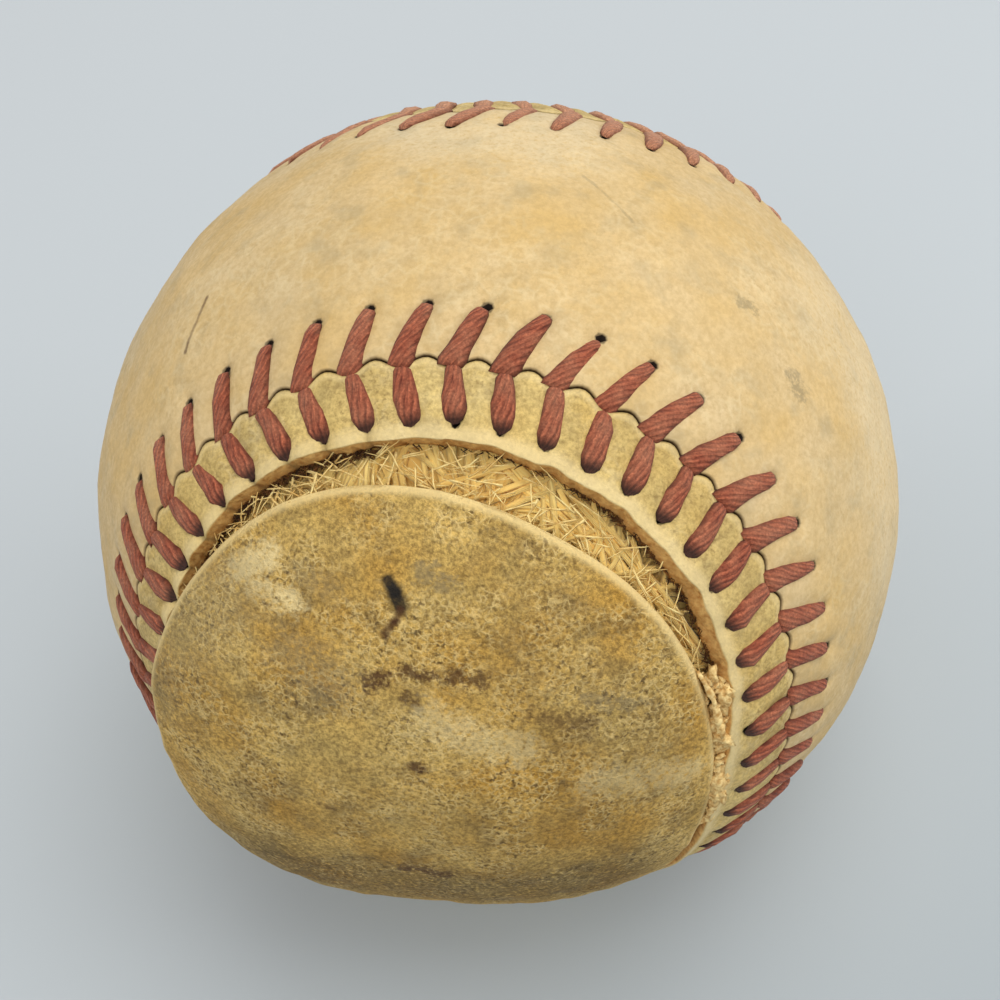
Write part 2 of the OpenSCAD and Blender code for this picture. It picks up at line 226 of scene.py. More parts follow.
# A sheet of leather: an outer skin, an inner skin and a wall along each rim. A rim
# is its loop of spots, the spots next to them inside, and how far the wall slopes out.
def leatherSheet(name, spots, rises, cells, rims, material, masks):
    count = len(spots)
    outer = spots * (ballR + rises["outer"])[:, None]
    inner = spots * (ballR - ball["leather"] + rises["inner"])[:, None]
    faces = [facing(outer, cells, outer[cells[:, 0]])]
    faces.append(facing(inner, cells, -inner[cells[:, 0]]) + count)
    points = [outer, inner]
    masks = {key: [values, np.zeros(count)] for key, values in masks.items()}
    masks["wall"] = [np.zeros(count), np.ones(count)]
    total = 2 * count
    for rim in rims:
        loop, inward = rim["loop"], rim["inward"]
        away = unit(spots[loop] - spots[inward])
        points[1][loop] += away * rim["slope"][:, None]
        rows = [loop]
        for level in ball["wallLevels"]:
            rough = waves(outer[loop] + away * level, 1.1, 5) * rim["rough"] * math.sin(math.pi * level)
            top, low = outer[loop], points[1][loop]
            points.append(top + (low - top) * level + away * rough[:, None])
            rows.append(total + np.arange(len(loop)))
            total += len(loop)
            # the walls along the seam keep its mask of dirt and painted shade
            for key, values in masks.items():
                if key == "wall":
                    values.append(np.full(len(loop), ball["wallTop"] + (1 - ball["wallTop"]) * level))
                else:
                    values.append(values[0][loop] if key == "grooveDirtAndShade" else np.zeros(len(loop)))
        rows.append(loop + count)
        for upper, lower in zip(rows[:-1], rows[1:]):
            wall = np.stack([upper, np.roll(upper, -1), np.roll(lower, -1), lower], -1)
            faces.append(facing(np.concatenate(points), wall, away))
    masks = {key: np.concatenate(values) for key, values in masks.items()}
    piece = newPiece(name, np.concatenate(points) * mm, np.concatenate(faces), material, masks)
    rest = piece.data.attributes.new("restPlace", "FLOAT_VECTOR", "POINT")  # holds each point's place at rest, where the dirt is drawn
    rest.data.foreach_set("vector", np.concatenate(points).astype(np.float32).ravel())
    return piece


# Nodes
def addNode(tree, kind, inputs=None, **settings):
    node = tree.nodes.new(kind)
    for key, value in settings.items():
        setattr(node, key, value)
    for key, value in (inputs or {}).items():
        socket = node.inputs[key]
        if isinstance(value, bpy.types.NodeSocket):
            tree.links.new(value, socket)
        else:
            socket.default_value = value
    return node


def maths(tree, operation, a, b=0.0, clamp=False):
    return addNode(tree, "ShaderNodeMath", {0: a, 1: b}, operation=operation, use_clamp=clamp).outputs[0]


def times(tree, a, b):
    return maths(tree, "MULTIPLY", a, b)


def plus(tree, a, b):
    return maths(tree, "ADD", a, b)


def minus(tree, a, b):
    return maths(tree, "SUBTRACT", a, b)


def vectors(tree, operation, a, b=(0, 0, 0), output=0):
    return addNode(tree, "ShaderNodeVectorMath", {0: a, 1: b}, operation=operation).outputs[output]


def scaled(tree, vector, factor):
    return addNode(tree, "ShaderNodeVectorMath", {0: vector, "Scale": factor}, operation="SCALE").outputs[0]


def joined(tree, x, y, z=0.0):
    return addNode(tree, "ShaderNodeCombineXYZ", {0: x, 1: y, 2: z}).outputs[0]


def noiseMask(tree, place, scale, low=0.4, high=0.6, detail=3.0, roughness=0.55):
    noise = addNode(tree, "ShaderNodeTexNoise", {
        "Vector": place, "Scale": scale, "Detail": detail, "Roughness": roughness})
    return spread(tree, noise.outputs["Fac"], low, high)


# Spreads the values between low and high over 0 to 1
def spread(tree, value, low, high):
    return addNode(tree, "ShaderNodeMapRange", {"Value": value, "From Min": low, "From Max": high}).outputs[0]


def mixed(tree, share, a, b):
    return addNode(tree, "ShaderNodeMix", {0: share, 6: a, 7: b}, data_type="RGBA").outputs[2]


def maskOf(tree, name):
    return addNode(tree, "ShaderNodeAttribute", attribute_name=name).outputs["Fac"]


def shaderGroup(name, inputs, outputs):
    tree = bpy.data.node_groups.new(name, "ShaderNodeTree")
    for label, kind, value in inputs:
        socket = tree.interface.new_socket(name=label, in_out="INPUT", socket_type=kind)
        if value is not None:
            socket.default_value = value
    for label, kind in outputs:
        tree.interface.new_socket(name=label, in_out="OUTPUT", socket_type=kind)
    return tree, tree.nodes.new("NodeGroupInput").outputs, tree.nodes.new("NodeGroupOutput")


def placeGroup(tree, group, inputs):
    return addNode(tree, "ShaderNodeGroup", inputs, node_tree=group).outputs


def newMaterial(name, roughness, sheen=0.0):
    material = bpy.data.materials.new(name)
    material.use_nodes = True
    tree = material.node_tree
    shader = tree.nodes["Principled BSDF"]
    shader.inputs["Roughness"].default_value = roughness
    shader.inputs["Specular IOR Level"].default_value = 0.3
    shader.inputs["Sheen Weight"].default_value = sheen
    return material, tree, shader


def finishMaterial(tree, shader, colour, height, strength, distance, roughness=None):
    bump = addNode(tree, "ShaderNodeBump", {
        "Height": height, "Strength": strength, "Distance": distance * mm})
    tree.links.new(bump.outputs[0], shader.inputs["Normal"])
    tree.links.new(colour, shader.inputs["Base Color"])
    if roughness:
        tree.links.new(roughness, shader.inputs["Roughness"])


def objectPlace(tree, scale=1000.0):
    place = addNode(tree, "ShaderNodeTexCoord").outputs["Object"]
    return addNode(tree, "ShaderNodeMapping", {"Vector": place, "Scale": (scale, scale, scale)}).outputs[0]


def rgb(r, g, b):
    levels = (r / 255, g / 255, b / 255)
    return (*(c / 12.92 if c <= 0.04045 else ((c + 0.055) / 1.055) ** 2.4 for c in levels), 1.0)


# Leather grain: a fine rough skin, pale flecks and a net of fine lines
def makeGrain():
    tree, given, out = shaderGroup("leatherGrain", [
        ("Place", "NodeSocketVector", None),
        ("Grain Size", "NodeSocketFloat", 0.5),
        ("Net Size", "NodeSocketFloat", 1.2),
    ], [("Height", "NodeSocketFloat"), ("Flecks", "NodeSocketFloat"), ("Net", "NodeSocketFloat")])
    grainScale = maths(tree, "DIVIDE", 1.0, given["Grain Size"])
    netScale = maths(tree, "DIVIDE", 1.0, given["Net Size"])
    fine = addNode(tree, "ShaderNodeTexNoise", {
        "Vector": given["Place"], "Scale": grainScale, "Detail": 4.0, "Roughness": 0.7})
    flecks = spread(tree, fine.outputs["Fac"], 0.38, 0.62)
    bent = addNode(tree, "ShaderNodeTexNoise", {"Vector": given["Place"], "Scale": netScale, "Detail": 2.0})
    bending = scaled(tree, bent.outputs["Color"], times(tree, given["Net Size"], 1.1))
    bentPlace = vectors(tree, "ADD", given["Place"], bending)
    cells = addNode(tree, "ShaderNodeTexVoronoi", {"Vector": bentPlace, "Scale": netScale},
        feature="DISTANCE_TO_EDGE")
    lines = spread(tree, cells.outputs["Distance"], 0.2, 0.02)
    patches = noiseMask(tree, given["Place"], times(tree, netScale, 0.12), 0.42, 0.56)
    broken = times(tree, patches,
        noiseMask(tree, given["Place"], times(tree, netScale, 0.8), 0.36, 0.56))
    net = times(tree, lines, broken)
    tree.links.new(plus(tree, fine.outputs["Fac"], times(tree, net, 0.25)), out.inputs["Height"])
    tree.links.new(flecks, out.inputs["Flecks"])
    tree.links.new(net, out.inputs["Net"])
    return tree


# Dirt: broad clouds, smudges inside them and small specks
def makeDirt():
    tree, given, out = shaderGroup("handDirt", [
        ("Place", "NodeSocketVector", None),
        ("Cloud Size", "NodeSocketFloat", 9.0),
        ("Speck Size", "NodeSocketFloat", 0.5),
    ], [("Clouds", "NodeSocketFloat"), ("Smudges", "NodeSocketFloat"), ("Specks", "NodeSocketFloat")])
    cloudScale = maths(tree, "DIVIDE", 1.0, given["Cloud Size"])
    speckScale = maths(tree, "DIVIDE", 1.0, given["Speck Size"])
    clouds = noiseMask(tree, given["Place"], cloudScale, 0.4, 0.66, detail=5.0, roughness=0.6)
    smudges = noiseMask(tree, given["Place"], times(tree, cloudScale, 3.1), 0.52, 0.7, detail=6.0)
    specks = noiseMask(tree, given["Place"], speckScale, 0.54, 0.68, detail=3.0)
    patches = noiseMask(tree, given["Place"], times(tree, cloudScale, 1.7), 0.38, 0.6)
    tree.links.new(clouds, out.inputs["Clouds"])
    tree.links.new(smudges, out.inputs["Smudges"])
    tree.links.new(times(tree, specks, patches), out.inputs["Specks"])
    return tree


# A ragged stroke of colour between two places on the ball, for dirt and wear and for painted light and shade
def makeStroke():
    tree, given, out = shaderGroup("dirtAndPaintedLightStroke", [
        ("Place", "NodeSocketVector", None),
        ("Start", "NodeSocketVector", None),
        ("End", "NodeSocketVector", None),
        ("Width", "NodeSocketFloat", 1.0),
        ("Ragged", "NodeSocketFloat", 0.5),
    ], [("Mask", "NodeSocketFloat")])
    noise = addNode(tree, "ShaderNodeTexNoise", {
        "Vector": given["Place"], "Scale": 1.1, "Detail": 5.0, "Roughness": 0.7})
    span = vectors(tree, "SUBTRACT", given["End"], given["Start"])
    reach = vectors(tree, "SUBTRACT", given["Place"], given["Start"])
    share = maths(tree, "DIVIDE", vectors(tree, "DOT_PRODUCT", reach, span, 1),
        vectors(tree, "DOT_PRODUCT", span, span, 1), clamp=True)
    away = vectors(tree, "LENGTH", vectors(tree, "SUBTRACT", reach, scaled(tree, span, share)), output=1)
    tearing = times(tree, minus(tree, noise.outputs["Fac"], 0.5), times(tree, given["Ragged"], 6.0))
    mask = spread(tree, minus(tree, away, tearing),
        times(tree, given["Width"], 0.7), times(tree, given["Width"], 0.3))
    flakes = noiseMask(tree, given["Place"], 2.6, 0.3, 0.5)
    kept = maths(tree, "MAXIMUM", flakes, minus(tree, 1.0, times(tree, given["Ragged"], 1.5)))
    tree.links.new(times(tree, mask, kept), out.inputs["Mask"])
    return tree


# Strands that run along a thread and twist round it, from its own map
def makeStrands():
    tree, given, out = shaderGroup("twistedStrands", [
        ("Map", "NodeSocketVector", None),
        ("Strands", "NodeSocketFloat", 7.0),
        ("Twist", "NodeSocketFloat", 1.0),
    ], [("Height", "NodeSocketFloat"), ("Shade", "NodeSocketFloat")])
    parts = addNode(tree, "ShaderNodeSeparateXYZ", {0: given["Map"]})
    spiral = plus(tree, times(tree, parts.outputs["Y"], given["Strands"]),
        times(tree, parts.outputs["X"], given["Twist"]))
    stretched = joined(tree, times(tree, parts.outputs["X"], 2.0), spiral)
    jitter = addNode(tree, "ShaderNodeTexNoise", {"Vector": stretched, "Scale": 2.6, "Detail": 4.0})
    angle = plus(tree, times(tree, spiral, 2 * math.pi),
        times(tree, jitter.outputs["Fac"], 4.0))
    ridge = plus(tree, times(tree, maths(tree, "SINE", angle), 0.5), 0.5)
    tree.links.new(ridge, out.inputs["Height"])
    patches = spread(tree, jitter.outputs["Fac"], 0.3, 0.7)
    tree.links.new(plus(tree, times(tree, ridge, 0.34),
        times(tree, patches, 0.66)), out.inputs["Shade"])
    return tree


grainGroup = makeGrain()
dirtGroup = makeDirt()
strokeGroup = makeStroke()
strandGroup = makeStrands()


# Leather of the cover. The masks follow the seam and the torn edges.
def coverLeather(name, finish, strokes):
    material, tree, shader = newMaterial(name, finish["roughness"])
    shader.inputs["Specular IOR Level"].default_value = finish["shine"]
    place = addNode(tree, "ShaderNodeAttribute", attribute_name="restPlace").outputs["Vector"]
    grain = placeGroup(tree, grainGroup, {
        "Place": place, "Grain Size": finish["grain"], "Net Size": finish["net"]})
    dirt = placeGroup(tree, dirtGroup, {
        "Place": place, "Cloud Size": finish["cloud"], "Speck Size": finish["speck"]})

    def over(mask, share, colour, paint):
        return mixed(tree, times(tree, mask, share), colour, paint)

    warmth = noiseMask(tree, place, 0.16, 0.36, 0.64, detail=5.0)
    colour = mixed(tree, warmth, finish["light"], finish["warm"])
    colour = over(dirt["Clouds"], finish["cloudShare"], colour, finish["grey"])
    colour = over(dirt["Smudges"], finish["smudgeShare"], colour, finish["smudge"])
    colour = over(minus(tree, 1.0, grain["Flecks"]), finish["grainShare"], colour, finish["dark"])
    colour = over(grain["Net"], finish["netShare"], colour, finish["netColour"])
    colour = over(dirt["Specks"], finish["speckShare"], colour, finish["dark"])
    for startLat, startLon, endLat, endLon, width, ragged, share, paint in strokes:
        start, end = (Vector(onBall(*spot)) * ballR for spot in ((startLat, startLon), (endLat, endLon)))
        mask = placeGroup(tree, strokeGroup, {
            "Place": place, "Start": start, "End": end, "Width": width, "Ragged": ragged})["Mask"]
        colour = over(mask, share, colour, paint)
    # a pale lip along the torn edges; on the strip's torn edge and beside the seam it is a painted highlight
    colour = over(maskOf(tree, "lip"), finish["lipShare"], colour, finish["lip"])
    fibres = noiseMask(tree, place, 2.2, 0.3, 0.7, detail=5.0)
    # the torn wall darkens towards its foot under the lip: painted shade
    deepShade = spread(tree, maskOf(tree, "wall"), 0.55, 1.0)
    flesh = mixed(tree, fibres, finish["flesh"], finish["fleshDark"])
    flesh = over(deepShade, 0.6, flesh, finish["fleshDark"])
    colour = mixed(tree, spread(tree, maskOf(tree, "wall"), 0.08, 0.4), colour, flesh)
    # dirt near the stitches, and painted shade in the seam's gap and in the notches between the tabs
    colour = over(maskOf(tree, "grooveDirtAndShade"), 0.9, colour, finish["grooveDirtAndShade"])
    # the stitch holes and their rims are painted near-black: painted shade in the holes
    pit = spread(tree, maskOf(tree, "pit"), 0.34, 0.5)
    colour = mixed(tree, pit, colour, finish["hole"])
    wallRough = times(tree, times(tree, maskOf(tree, "wall"), fibres), 1.2)
    height = plus(tree, grain["Height"], wallRough)
    roughness = minus(tree, finish["roughness"] + 0.08, times(tree, grain["Flecks"], 0.15))
    roughness = maths(tree, "MAXIMUM", roughness, pit)
    finishMaterial(tree, shader, colour, height, finish["bump"], 0.2, roughness)
    return material


wholeFinish = {
    "light": rgb(219, 190, 137),
    "warm": rgb(210, 176, 112),
    "grey": rgb(204, 183, 143),
    "smudge": rgb(172, 156, 120),
    "dark": rgb(172, 144, 92),
    "netColour": rgb(244, 230, 188),
    "grooveDirtAndShade": rgb(76, 55, 31),
    "hole": rgb(30, 20, 12),
    "lip": rgb(228, 206, 152),
    "flesh": rgb(228, 196, 140),
    "fleshDark": rgb(156, 116, 66),
    "roughness": 0.6,
    "shine": 0.32,
    "grain": 0.5,
    "net": 1.2,
    "cloud": 9.0,
    "speck": 0.4,
    "cloudShare": 0.6,
    "smudgeShare": 0.5,
    "grainShare": 0.36,
    "netShare": 0.15,
    "speckShare": 0.3,
    "lipShare": 0.8,
    "bump": 0.3,
}
stripFinish = dict(wholeFinish, light=rgb(230, 202, 128), warm=rgb(218, 184, 104), grey=rgb(198, 174, 112),
    smudge=rgb(150, 130, 82), dark=rgb(124, 98, 50), flesh=rgb(232, 188, 114), fleshDark=rgb(172, 118, 58),
    shine=0.35, grain=0.34, speck=0.35, smudgeShare=0.45, grainShare=0.46, speckShare=0.55, lipShare=0.6,
    bump=0.45)
flapFinish = dict(wholeFinish, light=rgb(232, 193, 107), warm=rgb(208, 159, 66), grey=rgb(186, 161, 96),
    smudge=rgb(124, 102, 60), dark=rgb(72, 50, 22), netColour=rgb(240, 210, 140), lip=rgb(242, 216, 152),
    flesh=rgb(226, 200, 136), fleshDark=rgb(170, 136, 76), roughness=0.75, shine=0.3, grain=0.32, net=0.56,
    cloud=8.0, smudgeShare=0.55, grainShare=0.6, netShare=0.6, speckShare=0.8, lipShare=0.75, bump=0.9)
black, brown, greyStain = rgb(22, 18, 15), rgb(78, 46, 20), rgb(134, 120, 88)
grime, bare, paintedLight = rgb(92, 74, 44), rgb(240, 218, 160), rgb(240, 226, 192)
bottomDirtAndShade = rgb(66, 48, 22)
# Strokes of dirt and wear, and of painted light and shade: latitude and longitude of both ends in degrees,
# width in millimetres, how ragged the edge is, how strong the colour is, and the colour
wholeStrokes = [
    (55.7, -164.1, 50.9, -155.1, 0.4, 0.05, 0.7, brown),
    (75.6, 22.5, 70.3, -3.4, 0.3, 0.1, 0.4, greyStain),
    (44.8, -17.4, 43.4, -18.4, 1.5, 0.5, 0.6, greyStain),
    (55.2, -11.6, 53.5, -10.8, 1.0, 0.5, 0.5, greyStain),
    # broad pale washes: painted light on the right side and painted sheen near the top
    (35.0, 4.0, 12.0, -12.0, 14.0, 1.0, 0.25, paintedLight),
    (74.0, 60.0, 72.0, 110.0, 12.0, 1.0, 0.25, paintedLight),
]
flapStrokes = [
    (42.0, -96.0, 40.9, -94.8, 0.9, 0.05, 0.95, black),
    (40.9, -94.8, 39.4, -93.9, 1.25, 0.04, 0.95, black),
    (39.0, -93.8, 37.6, -94.6, 0.66, 0.07, 0.85, brown),
    (37.6, -94.6, 35.9, -95.9, 0.72, 0.09, 0.85, brown),
    (30.0, -97.6, 30.7, -96.0, 1.4, 0.55, 0.9, brown),
    (31.8, -93.4, 31.4, -89.0, 0.9, 0.55, 0.8, brown),
    (31.6, -86.6, 31.2, -83.4, 1.2, 0.55, 0.75, brown),
    (28.6, -92.6, 28.0, -91.4, 1.1, 0.5, 0.75, brown),
    (26.9, -70.1, 24.2, -63.5, 1.3, 0.7, 0.55, greyStain),
    (26.3, -76.7, 23.6, -70.7, 1.2, 0.7, 0.5, brown),
    (37.6, -118.5, 40.8, -115.0, 2.2, 0.5, 0.7, bare),
    (37.2, -115.1, 37.0, -109.3, 1.8, 0.5, 0.65, bare),
    (26.1, -89.9, 21.6, -79.3, 3.0, 1.0, 0.4, bare),
    (15.3, -70.2, 11.7, -59.0, 3.0, 1.0, 0.4, bare),
    (40.5, -109.6, 39.6, -104.4, 2.0, 0.9, 0.35, greyStain),
    (18.5, -127.9, 16.1, -120.2, 4.5, 1.0, 0.45, grime),
    (22.7, -116.0, 26.1, -104.2, 3.0, 1.0, 0.4, grime),
    (20.4, -117.3, 17.0, -112.5, 2.5, 1.0, 0.45, grime),
    (19.3, -92.1, 19.1, -91.6, 1.1, 0.2, 0.85, brown),
    (20.8, -116.6, 20.2, -116.3, 0.9, 0.2, 0.85, grime),
    (15.6, -113.6, 15.2, -112.9, 0.9, 0.2, 0.85, grime),
    (43.5, -90.6, 42.5, -87.6, 1.6, 0.7, 0.6, greyStain),
    (34.0, -121.0, 20.0, -127.0, 8.0, 1.0, 0.4, greyStain),
    (8.0, -112.0, 8.0, -72.0, 6.0, 1.0, 0.16, grime),
    (31.0, -108.0, 29.5, -103.0, 4.5, 1.0, 0.45, greyStain),
    (32.0, -74.0, 16.0, -66.0, 9.0, 1.0, 0.22, grime),
    # a broad dark band low on the flap: dirt, and painted shade on the flap's lower part
    (-9.0, -112.0, -9.0, -72.0, 12.0, 0.8, 0.6, bottomDirtAndShade),
    (-2.3, -95.2, -2.7, -90.8, 1.6, 0.6, 0.7, brown),
    (10.4, -107.5, 10.5, -103.4, 1.2, 0.6, 0.5, brown),
]
wholeLeather = coverLeather("wholeLeather", wholeFinish, wholeStrokes)
stripLeather = coverLeather("stripLeather", stripFinish, [])
flapLeather = coverLeather("flapLeather", flapFinish, flapStrokes)


def threadMaterial(name, finish):
    material, tree, shader = newMaterial(name, finish["roughness"], finish["sheen"])
    threadMap = addNode(tree, "ShaderNodeUVMap", uv_map="threadMap").outputs[0]
    strands = placeGroup(tree, strandGroup, {
        "Map": threadMap, "Strands": finish["strands"], "Twist": finish["twist"]})
    colour = mixed(tree, strands["Shade"], finish["dark"], finish["light"])
    fading = times(tree, noiseMask(tree, objectPlace(tree), 0.5, 0.35, 0.7), finish["fadeShare"])
    # random fading, and a painted sheen on the stitches on the far side
    back = addNode(tree, "ShaderNodeSeparateXYZ", {0: objectPlace(tree)}).outputs["Y"]
    farSheen = times(tree, spread(tree, back, finish["backStart"], finish["backEnd"]), finish["backShare"])
    colour = mixed(tree, maths(tree, "MAXIMUM", fading, farSheen), colour, finish["fadedAndSheen"])
    fuzz = noiseMask(tree, objectPlace(tree), 5.5, 0.36, 0.66, detail=4.0, roughness=0.7)
    colour = mixed(tree, times(tree, fuzz, finish["fuzzShare"]), colour, finish["dark"])
    parts = addNode(tree, "ShaderNodeSeparateXYZ", {0: threadMap})
    # the thread darkens towards its sides: painted shade where it meets the leather
    fromMiddle = maths(tree, "ABSOLUTE", minus(tree, parts.outputs["Y"], 0.5))
    side = spread(tree, fromMiddle, 0.3, 0.5)
    colour = mixed(tree, times(tree, side, finish["sideShadeShare"]), colour, finish["side"])
    # the tip darkens where the thread goes into its hole: dirt and painted shade
    tip = spread(tree, parts.outputs["X"], finish["tipStart"], finish["tipEnd"])
    colour = mixed(tree, times(tree, tip, finish["tipShare"]), colour, finish["tipDirtAndShade"])
    height = plus(tree, strands["Height"], times(tree, fuzz, 0.6))
    finishMaterial(tree, shader, colour, height, finish["bump"], finish["relief"])
    return material


redFinish = {
    "light": rgb(218, 122, 85),
    "dark": rgb(86, 24, 9),
    "fadedAndSheen": rgb(230, 174, 134),
    # the colour of the painted shade along the thread's sides
    "side": rgb(88, 36, 20),
    "tipDirtAndShade": rgb(44, 24, 17),
    "fadeShare": 0.25,
    "fuzzShare": 0.58,
    "backShare": 0.85,  # the side away from the tear is painted paler, a painted sheen where the light grazes it, from backStart millimetres on
    "backStart": 4.0,
    "backEnd": 18.0,
    "sideShadeShare": 0.75,
    "tipStart": 0.76,
    "tipEnd": 0.93,
    "tipShare": 0.9,
    "roughness": 0.7,
    "sheen": 0.05,
    "strands": 4.0,
    "twist": 2.6,
    "bump": 0.7,
    "relief": 0.12,
}
tornThread = threadMaterial("tornThread", redFinish)
wholeThread = threadMaterial("wholeThread", dict(redFinish, twist=7.5))


# Wound yarn and wool
def windingMaterial(name, finish, outer):
    material, tree, shader = newMaterial(name, 0.85, 0.2)
    threadMap = addNode(tree, "ShaderNodeUVMap", uv_map="threadMap").outputs[0]
    strands = placeGroup(tree, strandGroup, {
        "Map": threadMap, "Strands": finish["strands"], "Twist": finish["twist"]})
    place = objectPlace(tree)
    colour = mixed(tree, strands["Shade"], finish["dark"], finish["light"])
    colour = mixed(tree, times(tree, noiseMask(tree, place, 0.25, 0.4, 0.62), 0.5), colour, finish["stain"])
    # strands that lie deeper in the winding darken: painted shade between the strands
    radius = vectors(tree, "LENGTH", place, output=1)
    colour = mixed(tree, spread(tree, radius, outer - 0.9, outer - 1.6), colour, finish["deepShade"])
    # the yarn darkens near the strip's torn edge: stain, and painted shade under the edge
    patchy = times(tree, maskOf(tree, "edgeStainAndShade"), noiseMask(tree, place, 1.2, 0.25, 0.6))
    colour = mixed(tree, patchy, colour, finish["edgeStainAndShade"])
    finishMaterial(tree, shader, colour, strands["Height"], 0.7, 0.1)
    return material


cottonFinish = {"light": rgb(255, 232, 150), "dark": rgb(255, 213, 118), "stain": rgb(250, 200, 104),
    "deepShade": rgb(228, 170, 86), "edgeStainAndShade": rgb(96, 58, 24), "strands": 3.0, "twist": 60.0}
greyWoolFinish = {"light": rgb(150, 140, 124), "dark": rgb(104, 92, 76), "stain": rgb(110, 86, 58),
    "deepShade": rgb(70, 60, 48), "edgeStainAndShade": rgb(70, 60, 48), "strands": 3.0, "twist": 40.0}
whiteWoolFinish = {"light": rgb(224, 216, 200), "dark": rgb(186, 174, 152), "stain": rgb(196, 180, 150),
    "deepShade": rgb(140, 126, 100), "edgeStainAndShade": rgb(140, 126, 100), "strands": 3.0, "twist": 40.0}
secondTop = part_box("second_wool_winding")[1].x / mm - 0.6  # the windings lie inside their CAD shells
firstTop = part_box("first_wool_winding")[1].x / mm - 0.6
cottonYarn = windingMaterial("cottonYarn", cottonFinish, 35.66)
thirdWool = windingMaterial("thirdWool", greyWoolFinish, 32.9)
secondWool = windingMaterial("secondWool", whiteWoolFinish, secondTop)
firstWool = windingMaterial("firstWool", greyWoolFinish, firstTop)


# Rubber, cork, loose fibres and crumbs
def lumpyMaterial(name, light, dark, size, roughness):
    material, tree, shader = newMaterial(name, roughness)
    place = objectPlace(tree)
    lumps = noiseMask(tree, place, 1 / size, 0.35, 0.65, detail=6.0)
    finishMaterial(tree, shader, mixed(tree, lumps, dark, light), lumps, 0.4, 0.1)
    return material


corkMaterial = lumpyMaterial("corkGrain", rgb(196, 154, 104), rgb(122, 84, 48), 1.6, 0.8)
blackRubber = lumpyMaterial("blackRubber", rgb(48, 47, 46), rgb(30, 29, 28), 0.8, 0.6)
redRubber = lumpyMaterial("redRubber", rgb(150, 48, 38), rgb(118, 32, 26), 0.8, 0.6)
darkFibresAndShade = lumpyMaterial("darkFibresAndShade", rgb(112, 72, 34), rgb(44, 26, 12), 0.7, 0.9)
paleFibres = lumpyMaterial("paleFibres", rgb(252, 230, 160), rgb(222, 182, 106), 0.7, 0.85)
# the crumbs' darker brown follows the low spots of their bump: painted shade in their hollows
crumbLeather = lumpyMaterial("crumbLeather", rgb(248, 220, 154), rgb(186, 142, 78), 0.4, 0.9)
centreFinishes = {
    "cork_core": corkMaterial,
    "lower_black_shell": blackRubber,
    "upper_black_shell": blackRubber,
    "red_ring": redRubber,
    "red_rubber_cover": redRubber,
}
for nodeName, material in centreFinishes.items():
    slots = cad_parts[nodeName].data.materials
    slots.clear()
    slots.append(material)
print("materials made")

# Leather beside the seam: rows of spots, each row at a distance from the seam
band = {
    "perStitch": 10,
    "rows": [0.0, 0.08, 0.22, 0.42, 0.75, 1.2, 1.7, 2.25, 2.8, 3.4, 3.98, 4.4, 4.82],
    "holeRow": 11,
    "holeRadius": 0.38,
    "holeDepth": 1.0,
    "rimPit": 0.45,
    "rimDepth": 0.1,
    "edgeRadius": 0.17,
    "swell": 0.3,  # height of the leather between two stitches
    "swellShape": 0.55,
    "sink": 0.15,
    "reliefGrows": (0, 1.0),
    "reliefEnds": (3.8, 6.4),
    "grooveDirtAndShade": 0.22,
    "grooveEnds": (3.8, 5.2),
    "seamLine": 0.09,
    "swingEnds": (0, 2.4),
}
stations = seam["pairs"] * band["perStitch"]


def seamScallop(run):
    phase = np.mod(run / spacing - seam["firstShare"], 1)
    return seam["scallop"] * (np.sin(np.pi * phase) ** 2 - 0.5)


# Height of the leather beside the seam, and its dark mask: how deep in a stitch's groove it lies, for dirt
# and painted shade, and a line of painted shade along the seam's gap
def seamRelief(run, distance, lean):
    along = run / spacing - seam["firstShare"] - lean / spacing * np.clip(distance / seam["holeInset"], 0, 1)
    swelling = (0.5 - 0.5 * np.cos(2 * np.pi * along)) ** band["swellShape"]
    reach = hump(band["reliefGrows"], band["reliefEnds"], distance)
    radius = band["edgeRadius"]
    inRound = np.clip(radius - distance, 0, radius)
    rounding = radius - np.sqrt(radius**2 - inRound**2)
    height = reach * (band["swell"] * swelling - band["sink"]) - rounding
    grooveDirtAndShade = np.clip(band["grooveDirtAndShade"] * (1 - swelling) ** 2 * (1 - eased(*band["grooveEnds"], distance)), 0, 1)
    return height, np.maximum(grooveDirtAndShade, np.exp(-((distance / band["seamLine"]) ** 2)))


def bandGrid(side, lean, width, innerRows):
    index = np.arange(stations)
    run = (index / band["perStitch"] + seam["firstShare"]) * spacing + lean
    a = seamAt(run)
    near = np.array(band["rows"])
    far = near[-1] + (width(a)[:, None] - near[-1]) * np.asarray(innerRows)
    distance = np.concatenate([np.tile(near, (stations, 1)), far], 1)
    run = np.tile(run[:, None], (1, distance.shape[1]))
    pit = np.zeros_like(distance)
    sink = np.zeros_like(distance)
    holes = index[:: band["perStitch"]]
    step = spacing / band["perStitch"]
    for i in (-1, 0, 1):
        for j in (-1, 0, 1):
            at = (np.mod(holes + i, stations), band["holeRow"] + j)
            rowStep = band["rows"][band["holeRow"] + j] - band["rows"][band["holeRow"]]
            length = math.hypot(i * step, rowStep)
            if length == 0:
                pit[at] = 1
                sink[at] = band["holeDepth"]
                continue
            share = band["holeRadius"] / length - 1
            run[at] += i * step * share
            distance[at] += rowStep * share
            pit[at] = band["rimPit"]
            sink[at] = band["rimDepth"]
    swing = seamScallop(run) * (1 - eased(*band["swingEnds"], distance))
    spots = besideSeam(seamAt(run), side * (distance + ball["buttGap"] / 2) + swing)
    height, grooveDirtAndShade = seamRelief(run, distance, lean)
    return a, distance, spots, height - sink, grooveDirtAndShade, pit


